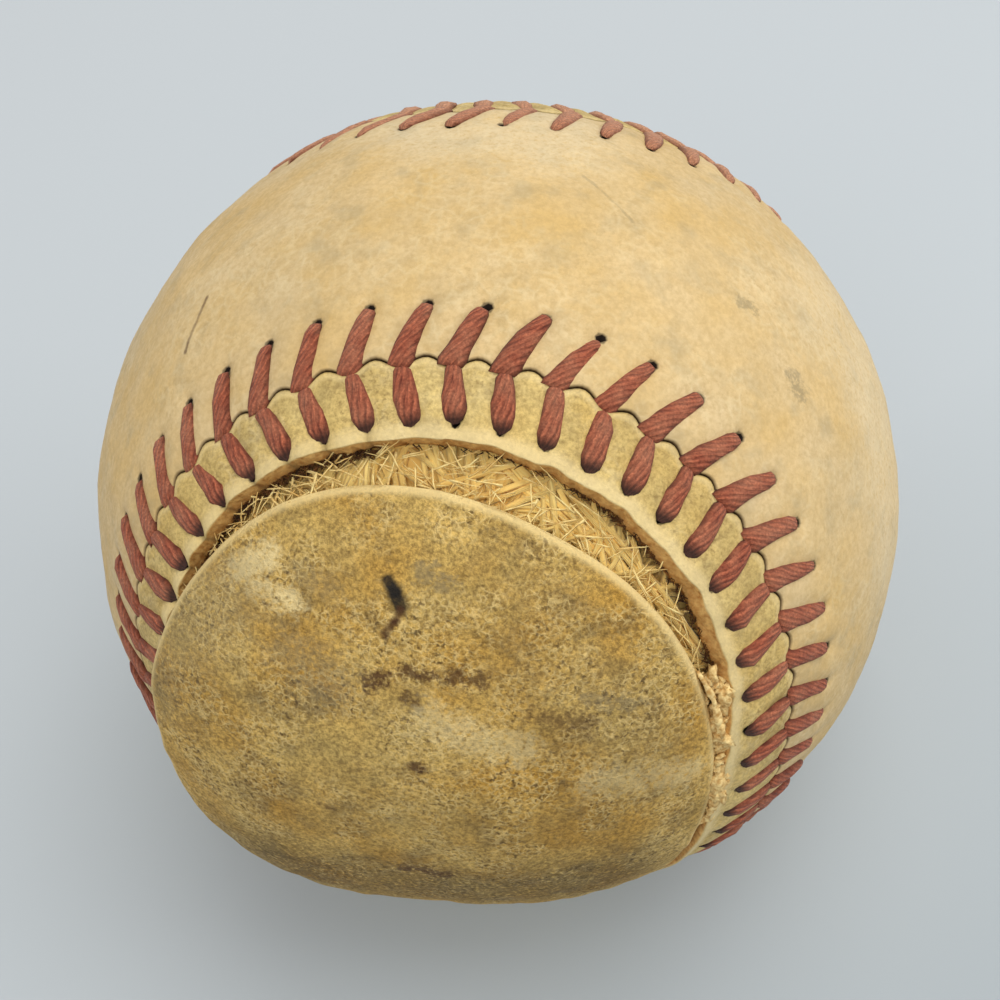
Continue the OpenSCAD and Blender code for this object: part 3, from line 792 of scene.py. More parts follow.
# Indices of a grid of ribs whose outline lies on ring, a closed row of spots. The
# ribs start at the lobe whose middle is at ring[middle].
def ribGrid(ring, middle, half, rows, closed, first):
    count = len(ring)
    grid = np.full((rows, 2 * half + 1), -1)
    grid[0] = ring[np.mod(middle - half + np.arange(2 * half + 1), count)]
    below = np.arange(1, rows)
    grid[1:, 0] = ring[np.mod(middle - half - below, count)]
    grid[1:, -1] = ring[np.mod(middle + half + below, count)]
    if closed:
        grid[-1] = ring[np.mod(middle - half - rows + 1 - np.arange(2 * half + 1), count)]
    empty = grid < 0
    grid[empty] = first + np.arange(empty.sum())
    return grid, empty


def gridCells(grid):
    return np.stack([grid[:-1, :-1], grid[1:, :-1], grid[1:, 1:], grid[:-1, 1:]], -1).reshape(-1, 4)


def ringCells(grid):
    after = np.roll(grid, -1, 0)
    return np.stack([grid[:, :-1], after[:, :-1], after[:, 1:], grid[:, 1:]], -1).reshape(-1, 4)


def undulation(spots):
    return sum(height * waves(spots * ballR, length, seed) for height, length, seed in ball["undulation"])


def fillRibs(spots, grid, empty):
    columns = grid.shape[1]
    shares = np.arange(columns) / (columns - 1)
    left = spots[grid[:, 0]][:, None, :]
    right = spots[grid[:, -1]][:, None, :]
    ribs = between(left, right, np.tile(shares, (len(grid), 1)))
    return np.concatenate([spots, ribs[empty]])


# The band's values, with zeros for the spots between its rims
def widened(values, spots):
    return np.concatenate([values.ravel(), np.zeros(len(spots) - values.size)])


wholePiece = {
    "bandWidth": 8.0,
    "innerRows": [0.15, 0.35, 0.6, 0.8, 1.0],
    "half": 24,  # ribs on each side of a lobe's middle
    "lobeMiddle": 180,
}


def makeWholePiece():
    a, distance, spots, height, grooveDirtAndShade, pit = bandGrid(
        1, seam["wholeLean"], lambda a: np.full_like(a, wholePiece["bandWidth"]), wholePiece["innerRows"])
    bandIndex = np.arange(distance.size).reshape(distance.shape)
    half = wholePiece["half"]
    middle = int(np.argmin(np.abs(a - wholePiece["lobeMiddle"])))
    rows = stations // 2 - 2 * half + 1
    grid, empty = ribGrid(bandIndex[:, -1], middle, half, rows, True, bandIndex.size)
    spots = fillRibs(spots.reshape(-1, 3), grid, empty)
    rises = widened(height, spots) + undulation(spots)
    masks = {"grooveDirtAndShade": widened(grooveDirtAndShade, spots), "pit": widened(pit, spots), "lip": np.zeros(len(spots))}
    cells = np.concatenate([ringCells(bandIndex), gridCells(grid)])
    rim = {"loop": bandIndex[:, 0], "inward": bandIndex[:, 1], "slope": np.zeros(stations), "rough": 0.0}
    piece = leatherSheet("whole_leather_piece", spots, {"outer": rises, "inner": np.zeros(len(spots))},
        cells, [rim], wholeLeather, masks)
    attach(piece, "ball")
    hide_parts("whole_cover_piece")


makeWholePiece()
print("whole leather piece made")

tornPiece = {
    "innerRows": [0.2, 0.45, 0.65, 0.82, 0.93, 1.0],
    "half": 24,
    "leftLip": 4.98,  # where the strip's outer skin ends, in millimetres from the seam
    "topLip": 5.6,
    "rightLip": 5.7,
    "leftSpan": (322, 352),
    "lipEnds": (430, 450),
    "footFade": 14,
    "wallReach": 0.55,  # how far the torn wall slopes out towards the CAD strip's own edge
    "wallStart": 0.06,
    "edgeWander": 0.11,
    "edgeRise": 0.16,  # the torn edge curls up, with a shallow trough behind it
    "troughDepth": 0.1,
    "troughPlace": 1.5,
    "tabs": 0.34,  # how far the leather between two stitches stands up on the left
    "tabsGrow": (270, 290),
    "tabsEnd": (336, 356),
    "notch": 0.26,
    "grime": 0.2,
    "seamHighlight": 0.7,  # the pale line beside the seam, a painted highlight on the edge of the scallops
}


# One along the tear, and zero past the flap's foot on both sides
def tornHere(gap, fade, a):
    start = footAngle + gap
    return hump((start, start + fade), (turns - start - fade, turns - start), a)


# Where the strip's outer skin ends, and where the foot of its torn wall lies
def lipWidth(a):
    lip = overLobe(tornPiece["leftLip"], tornPiece["topLip"], tornPiece["rightLip"], tornPiece["leftSpan"], a)
    torn = tornHere(2, tornPiece["footFade"], a) * (1 - eased(*tornPiece["lipEnds"], a))
    return stripWidth(a) + (lip - stripWidth(a)) * torn


def wallFoot(a):
    return lipWidth(a) + tornPiece["wallReach"] * (stripWidth(a) - lipWidth(a))


def makeTornPiece():
    def width(a):
        edge = besideSeam(a, -stripWidth(a)) * ballR
        return lipWidth(a) + tornHere(0, 6, a) * tornPiece["edgeWander"] * waves(edge, 2.6, 11)

    a, distance, spots, height, grooveDirtAndShade, pit = bandGrid(-1, seam["tornLean"], width, tornPiece["innerRows"])
    bandIndex = np.arange(distance.size).reshape(distance.shape)
    torn = ((a > bendFoot) & (a < turns - bendFoot))[:, None]
    fromEdge = distance[:, -1:] - distance
    seamLine = np.exp(-(((distance - 0.34) / 0.2) ** 2))
    # the strip's curled-up torn edge and a line beside the seam are painted pale: painted highlight
    lip = torn * (1 - eased(0.5, 1.5, fromEdge)) + tornPiece["seamHighlight"] * seamLine
    trough = np.exp(-((fromEdge - tornPiece["troughPlace"]) / 0.4) ** 2)
    height = height + tornPiece["edgeRise"] * torn * (1 - eased(0.0, 1.1, fromEdge))
    height = height - tornPiece["troughDepth"] * torn * trough
    phase = np.arange(stations)[:, None] / band["perStitch"]
    bulge = np.abs(np.sin(np.pi * phase)) ** 0.7 - 0.5
    tabbed = hump(tornPiece["tabsGrow"], tornPiece["tabsEnd"], a)[:, None] * (1 - eased(0.2, 1.6, fromEdge))
    height = height + tornPiece["tabs"] * tabbed * bulge
    # the lip is paler between the stitches, where the raised tabs catch the light: painted highlight
    lip = lip * (1 - 0.8 * tabbed * (0.5 - bulge))
    # dark notches at the stitches on the left: painted shade between the tabs, with some dirt
    notch = np.abs(np.mod(phase + 0.5, 1) - 0.5) * spacing / tornPiece["notch"]
    grooveDirtAndShade = np.maximum(grooveDirtAndShade, 0.6 * tabbed * np.exp(-(notch**2)))
    grimed = hump((0.45, 0.9), (1.8, 3.4), distance) * (0.6 + 0.4 * waves(spots * ballR, 2.0, 61))
    grooveDirtAndShade = np.maximum(grooveDirtAndShade, tornPiece["grime"] * grimed)
    half = tornPiece["half"]
    middle = int(np.argmin(np.abs(np.where(a > lobeTop, a - turns, a))))
    leftFoot = int(np.argmin(np.abs(a - bendFoot)))
    rows = (leftFoot - middle) % stations - half + 1
    grid, empty = ribGrid(bandIndex[::-1, -1], stations - 1 - middle, half, rows, False, bandIndex.size)
    spots = fillRibs(spots.reshape(-1, 3), grid, empty)
    rises = widened(height, spots) + undulation(spots)
    masks = {"grooveDirtAndShade": widened(grooveDirtAndShade, spots), "pit": widened(pit, spots), "lip": widened(lip, spots)}
    cells = np.concatenate([ringCells(bandIndex), gridCells(grid)])
    rightFoot = (middle - half - rows + 1) % stations
    around = np.arange(rightFoot - 1, leftFoot, -1)
    loop = np.concatenate([grid[-1], bandIndex[around, -1]])
    inward = np.concatenate([grid[-2], bandIndex[around, -2]])
    slope = tornPiece["wallStart"] + (wallFoot(a) - lipWidth(a))[around]
    sloping = np.concatenate([np.zeros(grid.shape[1]), slope])
    rims = [
        {"loop": bandIndex[:, 0], "inward": bandIndex[:, 1], "slope": np.zeros(stations), "rough": 0.0},
        {"loop": loop, "inward": inward, "slope": sloping, "rough": 0.12},
    ]
    piece = leatherSheet("torn_leather_piece", spots, {"outer": rises, "inner": np.zeros(len(spots))},
        cells, rims, stripLeather, masks)
    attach(piece, "ball")
    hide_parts("torn_cover_piece")


makeTornPiece()
print("torn leather piece made")

flap = {
    "ribs": 150,
    "columns": 120,
    "topRibs": 6,  # the last ribs go over from straight ones to the curve of the flap's tip
    "topSpan": 15,
    "topStep": 0.5,
    "dents": 0.05,
    "edgeDrop": 0.35,  # how far the worn edge is rounded off
    "edgeReach": 0.5,
    "lipReach": (0.2, 0.9),
}


def makeFlap():
    columns = flap["columns"] + 1
    shares = np.arange(columns) / flap["columns"]
    startRun = np.interp(bendFoot, seamAngles, seamRuns)
    stopRun = np.interp(lobeTop - flap["topSpan"], seamAngles, seamRuns)
    a = np.interp(np.linspace(startRun, stopRun, flap["ribs"]), seamRuns, seamAngles)
    left = besideSeam(a, flapOffset(a))
    right = besideSeam(turns - a, flapOffset(turns - a))
    spots = between(left[:, None], right[:, None], np.tile(shares, (len(a), 1)))
    for k in range(1, flap["topRibs"] + 1):
        span = flap["topSpan"] - k * flap["topStep"]
        topAngles = lobeTop + span * (2 * shares - 1)
        curved = besideSeam(topAngles, flapOffset(topAngles))
        ends = (np.full(columns, lobeTop + sign * span) for sign in (-1, 1))
        straight = between(*(besideSeam(end, flapOffset(end)) for end in ends), shares)
        share = k / flap["topRibs"]
        spots = np.concatenate([spots, unit(straight * (1 - share) + curved * share)[None]])
    rows = len(spots)
    rising = np.zeros(rows)
    rising[: len(a)] = flapRise(a)
    fromLeft = np.linalg.norm(spots - spots[:, :1], axis=-1) * ballR
    lift = rising[:, None] * (1 - eased(0, tear["riseReach"], fromLeft))
    grid = np.arange(rows * columns).reshape(rows, columns)
    loop = np.concatenate([grid[0, :-1], grid[:-1, -1], grid[-1, :0:-1], grid[:0:-1, 0]])
    inward = np.concatenate([grid[1, :-1], grid[:-1, -2], grid[-2, :0:-1], grid[:0:-1, 1]])
    flat = spots.reshape(-1, 3)
    edge = flat[loop[columns - 1 :]]  # without the foot, where the flap is joined
    parts = (flat[start : start + 2000] for start in range(0, len(flat), 2000))
    gap = np.concatenate([np.linalg.norm(part[:, None] - edge, axis=-1).min(1) for part in parts]) * ballR
    lip = 1 - eased(*flap["lipReach"], gap)
    rises = lift.ravel() + undulation(flat) + flap["dents"] * waves(flat * ballR, 2.4, 21)
    rises = rises - flap["edgeDrop"] * (1 - eased(0, flap["edgeReach"], gap))
    rim = {"loop": loop, "inward": inward, "slope": np.zeros(len(loop)), "rough": 0.08}
    masks = {"grooveDirtAndShade": np.zeros(len(flat)), "pit": np.zeros(len(flat)), "lip": lip}
    piece = leatherSheet("torn_flap_leather", flat, {"outer": rises, "inner": lift.ravel()},
        gridCells(grid), [rim], flapLeather, masks)
    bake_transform(piece)
    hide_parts("torn_flap")


makeFlap()
print("flap made")


# Geometry nodes
def geometryTree(name, inputs):
    tree = bpy.data.node_groups.new(name, "GeometryNodeTree")
    tree.interface.new_socket(name="Geometry", in_out="INPUT", socket_type="NodeSocketGeometry")
    for label, kind, value in inputs:
        socket = tree.interface.new_socket(name=label, in_out="INPUT", socket_type=kind)
        if value is not None:
            socket.default_value = value
    tree.interface.new_socket(name="Geometry", in_out="OUTPUT", socket_type="NodeSocketGeometry")
    return tree, tree.nodes.new("NodeGroupInput").outputs, tree.nodes.new("NodeGroupOutput")


# Moves each place a little, by smooth noise
def wobbled(tree, geometry, scale, amount):
    place = addNode(tree, "GeometryNodeInputPosition").outputs[0]
    noise = addNode(tree, "ShaderNodeTexNoise", {"Vector": place, "Scale": scale, "Detail": 1.0})
    offset = scaled(tree, vectors(tree, "SUBTRACT", noise.outputs["Color"], (0.5, 0.5, 0.5)), amount)
    return addNode(tree, "GeometryNodeSetPosition", {"Geometry": geometry, "Offset": offset}).outputs[0]


# Runs a tree on an object and returns the result as a plain mesh object
def grow(source, tree, name, values):
    modifier = source.modifiers.new("grow", "NODES")
    modifier.node_group = tree
    for item in tree.interface.items_tree:
        if item.in_out == "INPUT" and item.name in values:
            modifier[item.identifier] = values[item.name]
    bpy.context.view_layer.update()
    evaluated = source.evaluated_get(bpy.context.evaluated_depsgraph_get())
    mesh = bpy.data.meshes.new_from_object(evaluated)
    source.modifiers.remove(modifier)
    bpy.data.objects.remove(source)
    mesh.name = name
    mesh.materials.clear()
    mesh.materials.append(values["Material"])
    mesh.polygons.foreach_set("material_index", np.zeros(len(mesh.polygons), np.int32))
    mesh.shade_smooth()
    piece = bpy.data.objects.new(name, mesh)
    bpy.context.scene.collection.objects.link(piece)
    return piece


# A copy of one small piece on each point, turned as the point's own turn says
def makePlacing():
    tree, given, out = geometryTree("placeOnPoints", [
        ("Piece", "NodeSocketObject", None),
        ("Turn Jitter", "NodeSocketFloat", 0.05),
        ("Smallest", "NodeSocketFloat", 0.95),
        ("Largest", "NodeSocketFloat", 1.05),
        ("Wobble", "NodeSocketFloat", 0.0001),
        ("Wobble Scale", "NodeSocketFloat", 900.0),
        ("Seed", "NodeSocketInt", 1),
        ("Material", "NodeSocketMaterial", None),
    ])
    info = addNode(tree, "GeometryNodeObjectInfo", {"Object": given["Piece"]})
    turn = addNode(tree, "GeometryNodeInputNamedAttribute", {"Name": "turn"}, data_type="FLOAT_VECTOR")
    low, high = (times(tree, given["Turn Jitter"], sign) for sign in (-1.0, 1.0))
    jitter = addNode(tree, "FunctionNodeRandomValue", {
        0: joined(tree, low, low, low), 1: joined(tree, high, high, high), "Seed": given["Seed"]},
        data_type="FLOAT_VECTOR")
    turned = vectors(tree, "ADD", turn.outputs["Attribute"], jitter.outputs[0])
    size = addNode(tree, "FunctionNodeRandomValue", {
        2: given["Smallest"], 3: given["Largest"], "Seed": given["Seed"]}, data_type="FLOAT")
    placed = addNode(tree, "GeometryNodeInstanceOnPoints", {
        "Points": given["Geometry"],
        "Instance": info.outputs["Geometry"],
        "Rotation": turned,
        "Scale": size.outputs[1],
    })
    real = addNode(tree, "GeometryNodeRealizeInstances", {0: placed.outputs[0]})
    bent = wobbled(tree, real.outputs[0], given["Wobble Scale"], given["Wobble"])
    painted = addNode(tree, "GeometryNodeSetMaterial", {"Geometry": bent, "Material": given["Material"]})
    tree.links.new(painted.outputs[0], out.inputs[0])
    return tree


placingTree = makePlacing()


def pointsWithTurns(name, points, xAxis, zAxis):
    cloud = newPiece(name, points, [], None)
    yAxis = unit(np.cross(zAxis, xAxis))
    zAxis = np.cross(unit(xAxis), yAxis)
    turn = cloud.data.attributes.new("turn", "FLOAT_VECTOR", "POINT")
    for k, (x, y, z) in enumerate(zip(unit(xAxis), yAxis, zAxis)):
        turn.data[k].vector = Matrix((x, y, z)).transposed().to_euler()
    return cloud


# Copies of a small piece, each with its X along xAxis and its Z near zAxis
def growCopies(name, small, points, xAxis, zAxis, scatter, seed, material):
    cloud = pointsWithTurns(name + "_points", points * mm, xAxis, zAxis)
    copies = grow(cloud, placingTree, name, dict(scatter, Piece=small, Seed=seed, Material=material))
    bpy.data.objects.remove(small)
    return copies


def turnOutward(mesh):
    shape = bmesh.new()
    shape.from_mesh(mesh)
    bmesh.ops.recalc_face_normals(shape, faces=shape.faces)
    shape.to_mesh(mesh)
    shape.free()
    mesh.shade_smooth()


def addMap(piece, values):
    layer = piece.data.uv_layers.new(name="threadMap")
    corners = np.array([loop.vertex_index for loop in piece.data.loops])
    layer.data.foreach_set("uv", np.asarray(values, np.float32)[corners].ravel())


# A closed tube of rings with the same number of points each
def makeTube(name, verts, sides, material=None, mapping=None):
    rings = len(verts) // sides
    faces = []
    for r in range(rings - 1):
        for k in range(sides):
            after = (k + 1) % sides
            faces.append((r * sides + k, (r + 1) * sides + k, (r + 1) * sides + after, r * sides + after))
    faces.append(tuple(range(sides)))
    faces.append(tuple((rings - 1) * sides + k for k in reversed(range(sides))))
    piece = newPiece(name, np.array(verts) * mm, faces, material)
    turnOutward(piece.data)
    if mapping:
        addMap(piece, mapping)
    return piece


# One leg of a stitch, from the seam at X 0 to its hole. The whole piece's legs
# have a broad foot over the seam, and the torn piece's begin just under it.
wholeLeg = {
    "start": -0.4,
    "end": 4.5,
    "lean": seam["wholeLean"],
    "places": [0.0, 0.1, 0.32, 0.58, 0.82, 0.95, 1.0],
    "widths": [0.9, 1.0, 0.95, 0.86, 0.7, 0.52, 0.34],
    "tops": [0.12, 0.4, 0.5, 0.5, 0.44, 0.24, -0.15],
    "halfWidth": 0.98,
    "bow": 0.16,
    "mapReach": 0.78,
    "cutShare": 1.0,
}
tornLeg = {
    "start": 0.3,
    "end": 4.75,
    "lean": seam["tornLean"],
    "places": [0.0, 0.08, 0.28, 0.52, 0.74, 0.92, 1.0],
    "widths": [0.42, 0.66, 0.84, 0.97, 1.0, 0.72, 0.3],
    "tops": [0.06, 0.3, 0.44, 0.48, 0.42, 0.14, -0.3],
    "halfWidth": 0.98,
    "bow": 0.05,
    "mapReach": 1.0,
    "cutShare": 0.3,
}
stitchScatter = {"Turn Jitter": 0.022, "Smallest": 0.95, "Largest": 1.05, "Wobble": 0.5 * mm,
    "Wobble Scale": 600.0}
legSection = [(-1, 0), (-0.8, 0.62), (-0.32, 0.96), (0.32, 0.96), (0.8, 0.62), (1, 0), (0, -0.25)]


def makeStitchLeg(name, leg, length, slant):
    verts, mapping = [], []
    for place, width, top in zip(leg["places"], leg["widths"], leg["tops"]):
        base = -0.12 - 0.4 * max(0, -top)
        for across, up in legSection:
            y = across * width * leg["halfWidth"]
            shear = y * slant * leg["cutShare"] * (1 - place) ** 2
            verts.append((place * length - shear, y + leg["bow"] * math.sin(math.pi * place),
                base + (top - base) * up))
            mapping.append((place * leg["mapReach"], 0.5 + 0.5 * across))
    return makeTube(name, verts, len(legSection), mapping=mapping)


def makeStitches(name, node, side, leg, thread, seed):
    run = (np.arange(seam["pairs"]) + seam["firstShare"]) * spacing
    slope = leg["lean"] / seam["holeInset"]
    start = besideSeam(seamAt(run + slope * leg["start"]), np.full_like(run, side * leg["start"])) * ballR
    end = besideSeam(seamAt(run + slope * leg["end"]), np.full_like(run, side * leg["end"])) * ballR
    length = float(np.linalg.norm(end - start, axis=1).mean())
    small = makeStitchLeg(name + "_leg", leg, length, side * slope)
    piece = growCopies(name, small, start, end - start, start + end, stitchScatter, seed, thread)
    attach(piece, "ball")
    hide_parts(node)


makeStitches("whole_side_red_stitches", "whole_side_stitches", 1, wholeLeg, wholeThread, 3)
makeStitches("torn_side_red_stitches", "torn_side_stitches", -1, tornLeg, tornThread, 4)
print("stitches made")


# Keeps how far along its curve each point lies, for the thread's map
def withShare(tree, curve, label):
    kept = addNode(tree, "GeometryNodeCaptureAttribute", domain="POINT")
    kept.capture_items.new("FLOAT", label)
    tree.links.new(curve, kept.inputs["Geometry"])
    tree.links.new(addNode(tree, "GeometryNodeSplineParameter").outputs["Factor"], kept.inputs[label])
    return kept.outputs["Geometry"], kept.outputs[label]


# Loops of yarn that follow great circles, in small groups that run nearly alike
def makeWinding():
    tree, given, out = geometryTree("woundLoops", [
        ("Loops", "NodeSocketInt", 200),
        ("Group", "NodeSocketFloat", 4.0),
        ("Group Spread", "NodeSocketFloat", 0.12),
        ("Rings", "NodeSocketInt", 80),
        ("Strand", "NodeSocketFloat", 0.0008),
        ("Flatness", "NodeSocketFloat", 0.7),
        ("Outer Radius", "NodeSocketFloat", 0.035),
        ("Depth", "NodeSocketFloat", 0.002),
        ("Wander", "NodeSocketFloat", 0.0004),
        ("Seed", "NodeSocketInt", 1),
        ("Material", "NodeSocketMaterial", None),
    ])
    points = addNode(tree, "GeometryNodeMeshLine", {"Count": given["Loops"], "Offset": (0, 0, 0)})
    index = addNode(tree, "GeometryNodeInputIndex").outputs[0]
    group = maths(tree, "FLOOR", maths(tree, "DIVIDE", index, given["Group"]))
    full = (math.tau, math.tau, math.tau)
    way = addNode(tree, "FunctionNodeRandomValue", {1: full, "ID": group, "Seed": given["Seed"]},
        data_type="FLOAT_VECTOR")
    lean = addNode(tree, "FunctionNodeRandomValue", {0: (-1, -1, -1), 1: (1, 1, 1), "Seed": given["Seed"]},
        data_type="FLOAT_VECTOR")
    turned = vectors(tree, "ADD", way.outputs[0], scaled(tree, lean.outputs[0], given["Group Spread"]))
    rise = maths(tree, "DIVIDE", index, given["Loops"])
    radius = minus(tree, given["Outer Radius"],
        times(tree, minus(tree, 1.0, rise), given["Depth"]))
    circle = addNode(tree, "GeometryNodeCurvePrimitiveCircle", {"Resolution": given["Rings"], "Radius": 1.0})
    loops = addNode(tree, "GeometryNodeInstanceOnPoints", {
        "Points": points.outputs[0], "Instance": circle.outputs[0], "Rotation": turned, "Scale": radius})
    real = addNode(tree, "GeometryNodeRealizeInstances", {0: loops.outputs[0]})
    moved = wobbled(tree, real.outputs[0], 90.0, given["Wander"])
    along, alongShare = withShare(tree, moved, "along")
    section = addNode(tree, "GeometryNodeCurvePrimitiveCircle", {"Resolution": 5, "Radius": 0.5})
    around, aroundShare = withShare(tree, section.outputs[0], "around")
    width = joined(tree, given["Strand"], times(tree, given["Strand"], given["Flatness"]), 1.0)
    sized = addNode(tree, "GeometryNodeTransform", {"Geometry": around, "Scale": width})
    tube = addNode(tree, "GeometryNodeCurveToMesh", {"Curve": along, "Profile Curve": sized.outputs[0]})
    mapped = addNode(tree, "GeometryNodeStoreNamedAttribute", {
        "Geometry": tube.outputs[0], "Name": "threadMap", "Value": joined(tree, alongShare, aroundShare)},
        data_type="FLOAT2", domain="CORNER")
    painted = addNode(tree, "GeometryNodeSetMaterial", {
        "Geometry": mapped.outputs[0], "Material": given["Material"]})
    tree.links.new(painted.outputs[0], out.inputs[0])
    return tree


windingTree = makeWinding()

cottonWinding = {
    "node": "cotton_yarn",
    "slot": "cotton",
    "material": cottonYarn,
    "outer": 35.66,
    "depth": 0.75,
    "strand": 0.56,
    "loops": 400,
    "rings": 48,
    "group": 2.0,
    "spread": 0.09,
    "wander": 1.0,
    "core": 34.85,
    "seed": 7,
}
thirdWinding = {
    "node": "third_wool_winding",
    "slot": "grey_wool",
    "material": thirdWool,
    "outer": 32.9,
    "depth": 1.0,
    "strand": 1.5,
    "loops": 150,
    "rings": 60,
    "group": 3.0,
    "spread": 0.08,
    "wander": 0.8,
    "core": 32.2,
    "seed": 8,
}
secondWinding = dict(thirdWinding, node="second_wool_winding", slot="white_wool", material=secondWool,
    outer=secondTop, core=secondTop - 0.6, seed=9)
firstWinding = dict(thirdWinding, node="first_wool_winding", material=firstWool, outer=firstTop,
    core=firstTop - 0.6, seed=10)
yarnStainAndShade = {
    "span": (276, 456),
    "reach": (-0.2, 0.55),
    "topLoss": 0.85,  # the yarn's stain and painted shade are weaker under the top of the strip
    "topGrows": (338, 354),
    "topEnds": (384, 402),
}


# How near each place is to the torn edge of the strip, where the yarn is stained and painted with the shade
# under the strip's edge
def stainAndShadeNear(spots):
    a = np.arange(*yarnStainAndShade["span"], 0.75)
    line = seamPoint(a)
    edge = wallFoot(a)
    stain = np.zeros(len(spots))
    for start in range(0, len(spots), 4000):
        part = spots[start : start + 4000]
        angle = np.arccos(np.clip(part @ line.T, -1, 1))
        nearest = angle.argmin(1)
        beyond = angle.min(1) * ballR - edge[nearest]
        strength = 1 - yarnStainAndShade["topLoss"] * hump(yarnStainAndShade["topGrows"], yarnStainAndShade["topEnds"], a[nearest])
        stain[start : start + 4000] = strength * (1 - eased(*yarnStainAndShade["reach"], beyond))
    return stain


def makeWound(winding):
    name = winding["node"] + "_loops"
    source = newPiece(name + "_source", [(0, 0, 0)], [], None)
    piece = grow(source, windingTree, name, {
        "Loops": winding["loops"],
        "Group": winding["group"],
        "Group Spread": winding["spread"],
        "Rings": winding["rings"],
        "Strand": winding["strand"] * mm,
        "Outer Radius": (winding["outer"] - winding["strand"] / 2) * mm,
        "Depth": winding["depth"] * mm,
        "Wander": winding["wander"] * mm,
        "Seed": winding["seed"],
        "Material": winding["material"],
    })
    bpy.ops.mesh.primitive_ico_sphere_add(subdivisions=5, radius=winding["core"] * mm)
    core = bpy.context.object
    core.data.materials.append(winding["material"])
    core.data.shade_smooth()
    core.select_set(True)
    piece.select_set(True)
    bpy.context.view_layer.objects.active = piece
    bpy.ops.object.join()
    piece.select_set(False)
    if winding is cottonWinding:
        # the yarn's mask of stain and painted shade near the strip's torn edge
        places = np.empty(len(piece.data.vertices) * 3)
        piece.data.vertices.foreach_get("co", places)
        stain = piece.data.attributes.new("edgeStainAndShade", "FLOAT", "POINT")
        stain.data.foreach_set("value", stainAndShadeNear(unit(places.reshape(-1, 3))).astype(np.float32))
    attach(piece, "ball")
    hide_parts(winding["node"])


for winding in (cottonWinding, thirdWinding, secondWinding, firstWinding):
    makeWound(winding)
print("windings made")

# Hairs and crumbs along the torn edges. The strip's stay on the ball, and the flap's
# move with it.
fringe = {
    "count": 1100,
    "length": 0.6,
    "width": 0.15,
    "bend": -0.1,
    "leftSpan": (284, 346),
    "topSpan": (346, 392),
    "rightSpan": (392, 436),
    "leftShare": 0.66,
    "topShare": 0.15,  # of the hairs that aren't on the left
    "leftBeyond": (-0.1, 0.6),  # how far from the foot of the torn wall they grow
    "otherBeyond": (-0.15, 0.25),
    "depth": (0.95, 1.3),
    "turn": (0.6, 1.55),
    "tilt": (-0.1, 0.15),
    "seed": 31,
}
yarnEnds = {
    "count": 320,
    "length": 2.6,
    "width": 0.22,
    "bend": 0.1,
    "span": (286, 440),
    "radius": 35.7,
    "pile": 0.6,
    "turn": (-2.6, 2.6),
    "tilt": (0, 0.15),
    "seed": 32,
}
fuzz = {
    "count": 200,
    "length": 0.5,
    "width": 0.07,
    "bend": 0.06,
    "span": (262, 446),
    "inset": 0.06,
    "depth": (0.4, 1.15),
    "turn": (-0.9, 0.9),
    "tilt": (-0.2, 0.3),
    "seed": 33,
}
hairScatter = {"Turn Jitter": 0.25, "Smallest": 0.4, "Largest": 1.15, "Wobble": 0.3 * mm,
    "Wobble Scale": 900.0}


def makeHair(name, hair):
    sides, rings = 3, 5
    verts, mapping = [], []
    for r in range(rings):
        share = r / (rings - 1)
        radius = hair["width"] / 2 * (1 - 0.7 * share)
        for k in range(sides):
            angle = math.tau * k / sides
            verts.append((share * hair["length"], radius * math.cos(angle),
                hair["bend"] * share**2 + radius * math.sin(angle)))
            mapping.append((share, k / sides))
    return makeTube(name, verts, sides, mapping=mapping)


# Places beside the seam, with the way that leads from the seam towards the flap
def beside(a, offset, radius):
    spots = besideSeam(a, offset)
    return spots, spots * np.asarray(radius)[..., None], unit(besideSeam(a, offset - 0.5) - spots)


def growHairs(name, hair, body, material, a, offset, radius, turn, tilt):
    spots, points, onward = beside(a, offset, radius)
    across = np.cross(spots, onward)
    ways = onward * np.cos(turn)[:, None] + across * np.sin(turn)[:, None] + spots * tilt[:, None]
    small = makeHair(name + "_hair", hair)
    piece = growCopies(name, small, points, ways, spots, hairScatter, hair["seed"], material)
    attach(piece, body)


# dark hairs under the strip's torn edge: loose fibres, and also a dark fringe that stands in for the shade in
# the gap there
def makeFringe():
    dice = np.random.default_rng(fringe["seed"])
    count = fringe["count"]
    right = np.where(dice.uniform(0, 1, count) < fringe["topShare"], dice.uniform(*fringe["topSpan"], count),
        dice.uniform(*fringe["rightSpan"], count))
    a = np.where(dice.uniform(0, 1, count) < fringe["leftShare"], dice.uniform(*fringe["leftSpan"], count),
        right)
    beyond = np.where(a < fringe["leftSpan"][1], dice.uniform(*fringe["leftBeyond"], count),
        dice.uniform(*fringe["otherBeyond"], count))
    growHairs("torn_edge_fringe", fringe, "ball", darkFibresAndShade, a, -wallFoot(a) - beyond,
        ballR - dice.uniform(*fringe["depth"], count),
        dice.uniform(*fringe["turn"], count) * dice.choice([-1, 1], count),
        dice.uniform(*fringe["tilt"], count))


def makeYarnEnds():
    dice = np.random.default_rng(yarnEnds["seed"])
    count = yarnEnds["count"]
    a = dice.uniform(*yarnEnds["span"], count)
    share = dice.uniform(0, 1, count)
    growHairs("loose_yarn_ends", yarnEnds, "ball", paleFibres, a, -stripWidth(a) - share * flapGap(a),
        yarnEnds["radius"] + dice.uniform(0, yarnEnds["pile"], count), dice.uniform(*yarnEnds["turn"], count),
        dice.uniform(*yarnEnds["tilt"], count))


